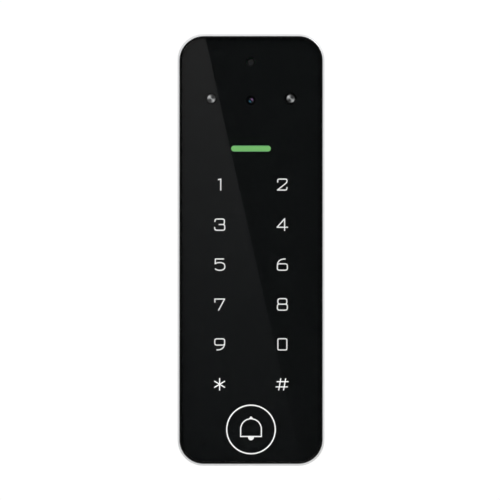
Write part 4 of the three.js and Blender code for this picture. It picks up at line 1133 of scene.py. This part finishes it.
def make_camera_eye(plastic, ring_ink):
    low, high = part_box("camera_barrel")
    middle = centre("camera_barrel")
    place = (middle.x, middle.z)
    front, back = low.y, high.y
    barrel = turned("camera_eye_barrel", [
        (2.3 * MM, back), (3.2 * MM, back), (3.2 * MM, front + 0.4 * MM), (3.1 * MM, front + 0.15 * MM),
        (2.9 * MM, front), (1.75 * MM, front), (1.7 * MM, front + 0.08 * MM),
        (1.9 * MM, front + 0.35 * MM), (1.7 * MM, front + 0.4 * MM), (1.9 * MM, front + 0.65 * MM),
        (2.3 * MM, front + 0.7 * MM), (2.3 * MM, back),
    ], place)
    hand_over(barrel, "reader", plastic, ["camera_barrel"])
    lens_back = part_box("camera_lens")[1].y
    radius = 2.1 * MM
    profile = [(radius, lens_back), (radius, lens_back - 0.6 * MM)]
    rise = 0.9 * MM
    for step in range(1, 10):
        turn = math.pi / 2 * step / 10
        profile.append((radius * math.cos(turn), lens_back - 0.6 * MM - rise * math.sin(turn)))
    lens = turned("camera_eye_lens", profile, place)
    # The lens's purple and blue glints are painted reflections.
    hand_over(lens, "reader", camera_lens_painted_sheen_material(middle), ["camera_lens"], 40)
    trim = hollow_ink(circle(2.65, 72), circle(2.25, 72), place)
    trim.name = "camera_trim"
    hand_over(trim, "reader", ring_ink)


def shaded_window_material(middle):
    """A smoked window with painted shade: darker towards its top, where the edge of its window would shade
    it.
    """
    material, n, shader = surface("smoked_window_painted_shade")
    # Painted shade: the upper part is darkened to stand for the shadow of the window's edge.
    painted_shade_tone = n.map_range(n.from_middle(2, middle.z), -1.2, 1.2, 0.026, 0.017, smooth=False)
    n.feed(shader, {
        "Base Color": n.colour(painted_shade_tone, painted_shade_tone, painted_shade_tone),
        "Roughness": n.vary(n.noise(500.0), 0.25, 0.35),
        "Specular IOR Level": 0.1,
    })
    return material


def make_sensor():
    low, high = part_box("light_pipe")
    middle = centre("light_pipe")
    pipe = turned("sensor_window", [
        (1.0 * MM, high.y), (1.0 * MM, low.y + 0.6 * MM), (1.35 * MM, low.y + 0.55 * MM),
        (1.35 * MM, low.y + 0.2 * MM), (1.25 * MM, low.y + 0.05 * MM), (1.1 * MM, low.y),
    ], (middle.x, middle.z))
    hand_over(pipe, "reader", shaded_window_material(middle), ["light_pipe"])


# ------------------------------------------------------------------ wall plate


def plate_cutter(outline):
    return prism("cutter", outline, MM, -3 * MM)


def slot_cutter(width, height, radius, x, z):
    return plate_cutter(rounded_rectangle(width, height, radius, 8, (x, z)))


def bent_strip(name, path, thickness, across, bend=1.2 * MM, steps=6):
    """A strip of sheet along a path in y and z with one bend, across = (lowest x, highest x)."""
    start, corner, end = (Vector(p) for p in path)
    into = (corner - start).normalized()
    out = (end - corner).normalized()
    line = [start]
    for step in range(steps + 1):
        t = step / steps
        a = corner - into * bend
        b = corner + out * bend
        line.append(a * (1 - t) ** 2 + corner * (2 * t * (1 - t)) + b * t ** 2)
    line.append(end)
    left = offset_line(line, thickness / 2, False)
    right = offset_line(line, -thickness / 2, False)
    section = left + right[::-1]
    rings = [[(x, y, z) for y, z in section] for x in across]
    return loft(name, rings)


def make_wall_plate(steel):
    width, _, height = size("wall_plate")
    middle = (0.0, centre("wall_plate").z)
    outline_at = inset_outline(width, height, PLATE_CORNER, 10, middle)
    plate = softened_prism("wall_bracket_plate", outline_at, 0.0, -SHEET, 0.15 * MM, 2)
    cutters = [slot_cutter(*CABLE_WINDOW)]
    cutters += [slot_cutter(*WALL_SLOT, 0.0, z) for z in WALL_SLOT_Z]
    cutters += [plate_cutter(circle(WALL_HOLE, 40, place)) for place in WALL_HOLE_PLACES]
    cutters += [slot_cutter(HOOK_WIDTH + MM, 7.0 * MM, MM, x, z + 5.5 * MM) for x, z in HOOK_PLACES]
    cut(plate, *cutters)
    soften(plate, 0.12 * MM, 2, 50)
    formed = []
    for x, z in HOOK_PLACES:
        middle_y = HOOK_FRONT + SHEET / 2
        middle_z = z + SHEET / 2
        path = ((BENT_ROOT, middle_z), (middle_y, middle_z), (middle_y, z + SHEET + HOOK_LIP))
        hook = bent_strip("hook", path, SHEET, (x - HOOK_WIDTH / 2, x + HOOK_WIDTH / 2))
        formed.append(soften(hook, 0.12 * MM))
    union(plate, *formed, lock_tab())
    hand_over(plate, "wall_bracket", steel, ["wall_plate"])


def lock_tab():
    """The plate's lower edge bent forward, with the threaded hole for the locking screw."""
    bottom = PLATE_LOW.z
    low = (-6.0 * MM, PLATE_LOW.y, bottom)
    high = (6.0 * MM, BENT_ROOT, bottom + SHEET)
    tab = soften(block("tab", low, high), 0.2 * MM)
    axis, radius = 0.01 * MM, 1.65 * MM
    under, over = bottom - MM, bottom + 3 * MM
    profile = [(axis, under), (radius, under), (radius, over), (axis, over)]
    return cut(tab, turned("hole", profile, (0, LOCK_Y), 40, "Z"))


# ------------------------------------------------------------------ rear cover and headers


def make_rear_cover(plastic):
    back, front = COVER_BACK, COVER_LOW.y
    width, _, height = size("rear_cover")
    outline_at = inset_outline(width, height, COVER_CORNER)
    cover = softened_prism("reader_rear_cover", outline_at, back, front, 0.35 * MM)
    openings = []
    for node in ("power_header", "data_header"):
        place = centre(node)
        span = size(node).x + MM
        openings.append(rounded_rectangle(span, 8.0 * MM, 0.6 * MM, 6, (place.x, place.z)))
    plunger = centre("tamper_plunger")
    openings.append(circle(3.3 * MM, 48, (plunger.x, plunger.z)))
    openings += [circle(1.7 * MM, 32, place) for place in screw_places("cover_screw")]
    cut(cover, *(prism("cutter", opening, back + MM, front - MM) for opening in openings))
    soften(cover, 0.15 * MM, 2, 50)
    union(cover, *(keeper(x, z + SHEET + 0.1 * MM) for x, z in HOOK_PLACES))
    hand_over(cover, "reader", plastic, ["rear_cover"])


def keeper(x, z):
    """A bridge that drops behind a hook's lip: two posts and a bar, as one rounded piece."""
    inside = HOOK_WIDTH / 2 + 0.9 * MM
    outside = inside + 1.6 * MM
    back = -1.8 * MM
    root = -7.5 * MM
    bar = -3.2 * MM
    outline = [
        (x - outside, root), (x - outside, back), (x + outside, back), (x + outside, root),
        (x + inside, root), (x + inside, bar), (x - inside, bar), (x - inside, root),
    ]
    bridge = loft("keeper", [level_ring(outline, z), level_ring(outline, z + 2.6 * MM)])
    return soften(bridge, 0.25 * MM, 2, 50)


def make_header(name, node, pins, plastic, metal):
    """A wiring header: a moulded block with a wire socket and a release slot for each pole."""
    low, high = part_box(node)
    middle = centre(node)
    body = soften(block(name, low, high), 0.3 * MM)
    cutters = []
    clamps = []
    for pin in range(pins):
        x = middle.x + (pin - (pins - 1) / 2) * HEADER_PITCH
        socket = rounded_rectangle(1.7 * MM, 2.6 * MM, 0.3 * MM, 4, (x, middle.z - 1.2 * MM))
        cutters.append(prism("socket", socket, high.y + MM, high.y - 3.0 * MM))
        release = rounded_rectangle(1.2 * MM, 1.2 * MM, 0.15 * MM, 3, (x, middle.z + 2.0 * MM))
        cutters.append(prism("release", release, high.y + MM, high.y - 0.8 * MM))
        leaf_low = (x - 0.6 * MM, high.y - 2.9 * MM, middle.z - 2.2 * MM)
        leaf_high = (x + 0.6 * MM, high.y - 0.7 * MM, middle.z - 1.8 * MM)
        clamps.append(soften(block("leaf", leaf_low, leaf_high), 0.1 * MM))
    cut(body, *cutters)
    hand_over(body, "reader", plastic, [node])
    hand_over(gather(f"{name}_clamps", clamps), "reader", metal)


# ------------------------------------------------------------------ screws and small moving pieces


def cross_recess(x, z, top, half, width=0.5 * MM, deep=0.9 * MM):
    """Cutters for a cross recess in a screw head that faces the wall."""
    made = []
    for wide, tall in ((half, width / 2), (width / 2, half)):
        outline = [(x + wide, z - tall), (x + wide, z + tall), (x - wide, z + tall), (x - wide, z - tall)]
        tip = [(x + (px - x) * 0.55, z + (pz - z) * 0.55) for px, pz in outline]
        made.append(loft("cross", [ring_at(outline, top + 0.1 * MM), ring_at(tip, top - deep)]))
    return made


def pan_head_screw(name, node, steel):
    """A pan head screw whose head faces the wall, standing for a CAD screw of the same size."""
    low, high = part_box(node)
    middle = centre(node)
    head = (high.x - low.x) / 2
    shank = head * 0.46
    head_height = head * 0.66
    seat = high.y - head_height
    profile = [(0.2 * MM, low.y), (shank * 0.6, low.y + 0.1 * MM), (shank, low.y + 0.6 * MM)]
    turns = int((seat - low.y - 1.2 * MM) / SCREW_PITCH)
    for turn in range(turns):
        start = low.y + 0.7 * MM + turn * SCREW_PITCH
        profile.extend(((shank, start), (shank * 0.82, start + SCREW_PITCH * 0.5)))
    profile.extend(((shank, seat), (head, seat), (head, seat + head_height * 0.35)))
    for step in range(1, 7):
        turn = math.pi / 2 * step / 7
        profile.append((head * math.cos(turn), seat + head_height * (0.35 + 0.65 * math.sin(turn))))
    screw = turned(name, profile, (middle.x, middle.z), 40)
    cut(screw, *cross_recess(middle.x, middle.z, high.y, head * 0.5))
    hand_over(screw, "reader", steel, [node])


def make_locking_screw(steel):
    """The locking screw: a low head with a six-lobe socket and a real helical thread."""
    low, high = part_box("security_screw")
    bottom, tip = low.z, high.z
    place = (0, LOCK_Y)
    sides = 36
    rows_per_turn = 8
    seat = bottom + 1.8 * MM
    thread_start = seat + 0.6 * MM
    neck = SCREW_RADIUS - 0.15 * MM
    profile = (
        (SCREW_HEAD - 0.35 * MM, bottom), (SCREW_HEAD - 0.1 * MM, bottom + 0.1 * MM),
        (SCREW_HEAD, bottom + 0.35 * MM), (SCREW_HEAD, seat), (neck, seat),
        (neck, thread_start - 0.05 * MM),
    )
    rings = [level_ring(circle(radius, sides, place), z) for radius, z in profile]
    rows = int((tip - thread_start) / SCREW_PITCH * rows_per_turn)
    for row in range(rows + 1):
        z = thread_start + (tip - thread_start) * row / rows
        taper = min(1.0, (tip - z) / (0.8 * MM) * 0.35 + 0.65)

        def thread(angle):
            phase = (z / SCREW_PITCH - angle / (2 * math.pi)) % 1.0
            return (SCREW_RADIUS - 0.01 * MM - 0.28 * MM * abs(2 * phase - 1)) * taper

        rings.append(level_ring(circle(thread, sides, place), z))
    screw = loft("locking_screw", rings)
    cut(screw, lobed_socket(bottom))
    hand_over(screw, "locking_screw", steel, ["security_screw"])


def lobed_socket(head_bottom):
    outline = circle(lambda angle: (1.22 + 0.2 * math.cos(6 * angle)) * MM, 72, (0, LOCK_Y))
    rings = [level_ring(outline, z) for z in (head_bottom - MM, head_bottom + 1.2 * MM)]
    return loft("socket", rings)


def make_tamper(acetal, steel):
    low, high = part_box("tamper_plunger")
    middle = centre("tamper_plunger")
    place = (middle.x, middle.z)
    plunger = turned("tamper_plunger_pin", [
        (1.3 * MM, low.y), (1.5 * MM, low.y + 0.2 * MM), (1.5 * MM, -6.5 * MM), (2.3 * MM, -6.5 * MM),
        (2.4 * MM, -6.4 * MM), (2.4 * MM, -5.85 * MM), (2.3 * MM, -5.7 * MM), (1.6 * MM, -5.6 * MM),
        (1.5 * MM, -5.4 * MM), (1.5 * MM, high.y - 0.6 * MM), (1.3 * MM, high.y - 0.22 * MM),
        (0.9 * MM, high.y - 0.05 * MM), (0.5 * MM, high.y),
    ], place)
    hand_over(plunger, "tamper_button", acetal, ["tamper_plunger"])
    low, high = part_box("tamper_spring")
    wire = 0.2 * MM
    coil = 2.05 * MM
    start, end = low.y + wire, high.y - wire
    steps = 110
    turns = 3.5
    rings = []
    for step in range(steps + 1):
        t = step / steps
        angle = 2 * math.pi * turns * t
        away = Vector((math.cos(angle), 0, math.sin(angle)))
        ease = min(max((t * turns - 0.6) / (turns - 1.2), 0.0), 1.0)
        heart = Vector((place[0], start + (end - start) * ease, place[1])) + away * coil
        rings.append([tuple(heart + away * a + Vector((0, b, 0))) for a, b in circle(wire, 10)])
    spring = loft("tamper_coil", rings)
    hand_over(spring, "reader", steel, ["tamper_spring"])
    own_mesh(spring)


def make_reset_button(acetal):
    low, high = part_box("reset_button")
    profile = [
        (0.85 * MM, low.x), (0.9 * MM, low.x + 0.05 * MM), (0.84 * MM, high.x - 0.25 * MM),
        (0.75 * MM, high.x - 0.08 * MM), (0.5 * MM, high.x),
    ]
    button = turned("reset_button_cap", profile, (RESET_Y, RESET_Z), 32, "X")
    hand_over(button, "reset_key", acetal, ["reset_button"])


def make_speaker_mesh(cloth):
    """Woven threads behind the sound slots."""
    low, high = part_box("speaker_mesh")
    middle_z = (low.z + high.z) / 2
    pitch = 0.5 * MM
    thread = 0.085 * MM
    sides = 6
    parts = []

    def weave(fixed, start, end, runs_along_x, row):
        steps = int((end - start) / pitch * 4)
        rings = []
        for step in range(steps + 1):
            along = start + (end - start) * step / steps
            wave = math.sin(math.pi * along / pitch + math.pi * (row % 2)) * thread * 0.9
            section = circle(thread, sides, (fixed, middle_z + wave))
            rings.append([(along, a, z) if runs_along_x else (a, along, z) for a, z in section])
        parts.append(loft("thread", rings))

    inset = 0.2 * MM
    rows = int((high.y - low.y - 2 * inset) / pitch)
    for row in range(rows + 1):
        weave(low.y + inset + row * pitch, low.x + inset, high.x - inset, True, row)
    columns = int((high.x - low.x - 2 * inset) / pitch)
    for column in range(columns + 1):
        weave(low.x + inset + column * pitch, low.y + inset, high.y - inset, False, column + 1)
    hand_over(gather("sound_mesh", parts), "reader", cloth, ["speaker_mesh"])


# ------------------------------------------------------------------ finishes of the carried-over pieces

FINISHES = {
    "adhesive": lambda: grey_finish("foam_tape", 0.01, 0.02, (0.8, 0.95), bump=0.6),
    "white_diffuser": lambda: lit_material("keypad_light", (0.9, 0.92, 0.9), 0.5, 0.1),
    "circuit_board": board_material,
    "led_package": lambda: moulded_plastic("lamp_package", (0.8, 0.76, 0.62), (0.9, 0.87, 0.78)),
    "black_plastic": lambda: black_moulding("black_plastic"),
    "rubber": lambda: grey_finish("silicone", 0.01, 0.018, (0.7, 0.85), bump=0.4),
    "copper": lambda: finish_of("lacquered_copper", (0.6, 0.26, 0.13), (0.75, 0.38, 0.2), (0.25, 0.4), 1.0),
    "ferrite": lambda: finish_of("ferrite", (0.035, 0.035, 0.04), (0.06, 0.06, 0.065), (0.7, 0.85), bump=0.3),
    "bright_can": lambda: finish_of("tinned_can", (0.6, 0.6, 0.6), (0.72, 0.72, 0.73), (0.22, 0.35), 1.0),
    "steel": brushed_steel,
    "relay_plastic": lambda: moulded_plastic("relay_case", (0.012, 0.02, 0.04), (0.02, 0.032, 0.06)),
}


def dress_carried_nodes(ink_black, green):
    """Every CAD node that still shows gets its finish by its material slot."""
    own = {"print_mask": ink_black, "light_bar_diffuser": green}
    made = {}
    for row in frame["record"]["subparts"]:
        node, slot = row["node"], row["material_slot"]
        piece = frame["nodes"][node]
        if piece.hide_render:
            continue
        if node not in own and slot not in made:
            made[slot] = FINISHES[slot]()
        piece.data.materials.clear()
        piece.data.materials.append(own.get(node) or made[slot])


# ------------------------------------------------------------------ assembly

light_scene()

satin = satin_metal()
zinc = brushed_steel()
black_plastic = black_moulding("black_casing")
acetal_white = moulded_plastic("acetal", (0.74, 0.74, 0.71), (0.84, 0.84, 0.82), (0.35, 0.45))
header_green = moulded_plastic("header_nylon", (0.022, 0.16, 0.06), (0.035, 0.22, 0.09), (0.4, 0.5))
contact_metal = finish_of("contact_metal", (0.6, 0.6, 0.6), (0.75, 0.75, 0.76), (0.2, 0.3), 1.0)
port_cloth = grey_finish("port_cloth", 0.001, 0.003, (0.9, 1.0), bump=0.1)
mesh_cloth = grey_finish("acoustic_cloth", 0.012, 0.03, (0.6, 0.8), bump=0.3)
deep_black = edge_material("blackened_cup")
trim_ink = ink_material("trim_ink", 1.3)
# Near-black finish for the bead that darkens the gap round the glass.
dark_gap_black = grey_finish("dark_gap_finish", 0.003, 0.006, (0.6, 0.8), bump=0.2)
glass_edge_ink_and_shade = edge_material("glass_edge_ink_and_painted_shade")
black_ink = ink_material("black_ink")
sign_light = lit_material("sign_light", (1.0, 0.985, 0.965), 0.83, 0.05)
bell_light = lit_material("bell_light", (1.0, 0.985, 0.965), 1.0, 0.05)

make_housing(satin)
make_glass(glass_material(), glass_edge_ink_and_shade, bond_material())
make_dark_gap_bead(dark_gap_black)
make_sound_port(port_cloth)
make_prints(sign_light, bell_light)
for lamp_side in ("left", "right"):
    make_lamp(lamp_side, deep_black)
make_camera_eye(deep_black, trim_ink)
make_sensor()
make_wall_plate(zinc)
make_rear_cover(black_plastic)
make_header("power_terminal", "power_header", 10, header_green, contact_metal)
make_header("data_terminal", "data_header", 8, header_green, contact_metal)
for number in range(1, 5):
    pan_head_screw(f"cover_fixing_{number}", f"cover_screw_{number}", zinc)
    pan_head_screw(f"board_fixing_{number}", f"board_screw_{number}", zinc)
make_locking_screw(zinc)
make_tamper(acetal_white, zinc)
make_reset_button(acetal_white)
make_speaker_mesh(mesh_cloth)
dress_carried_nodes(black_ink, green_light_material())
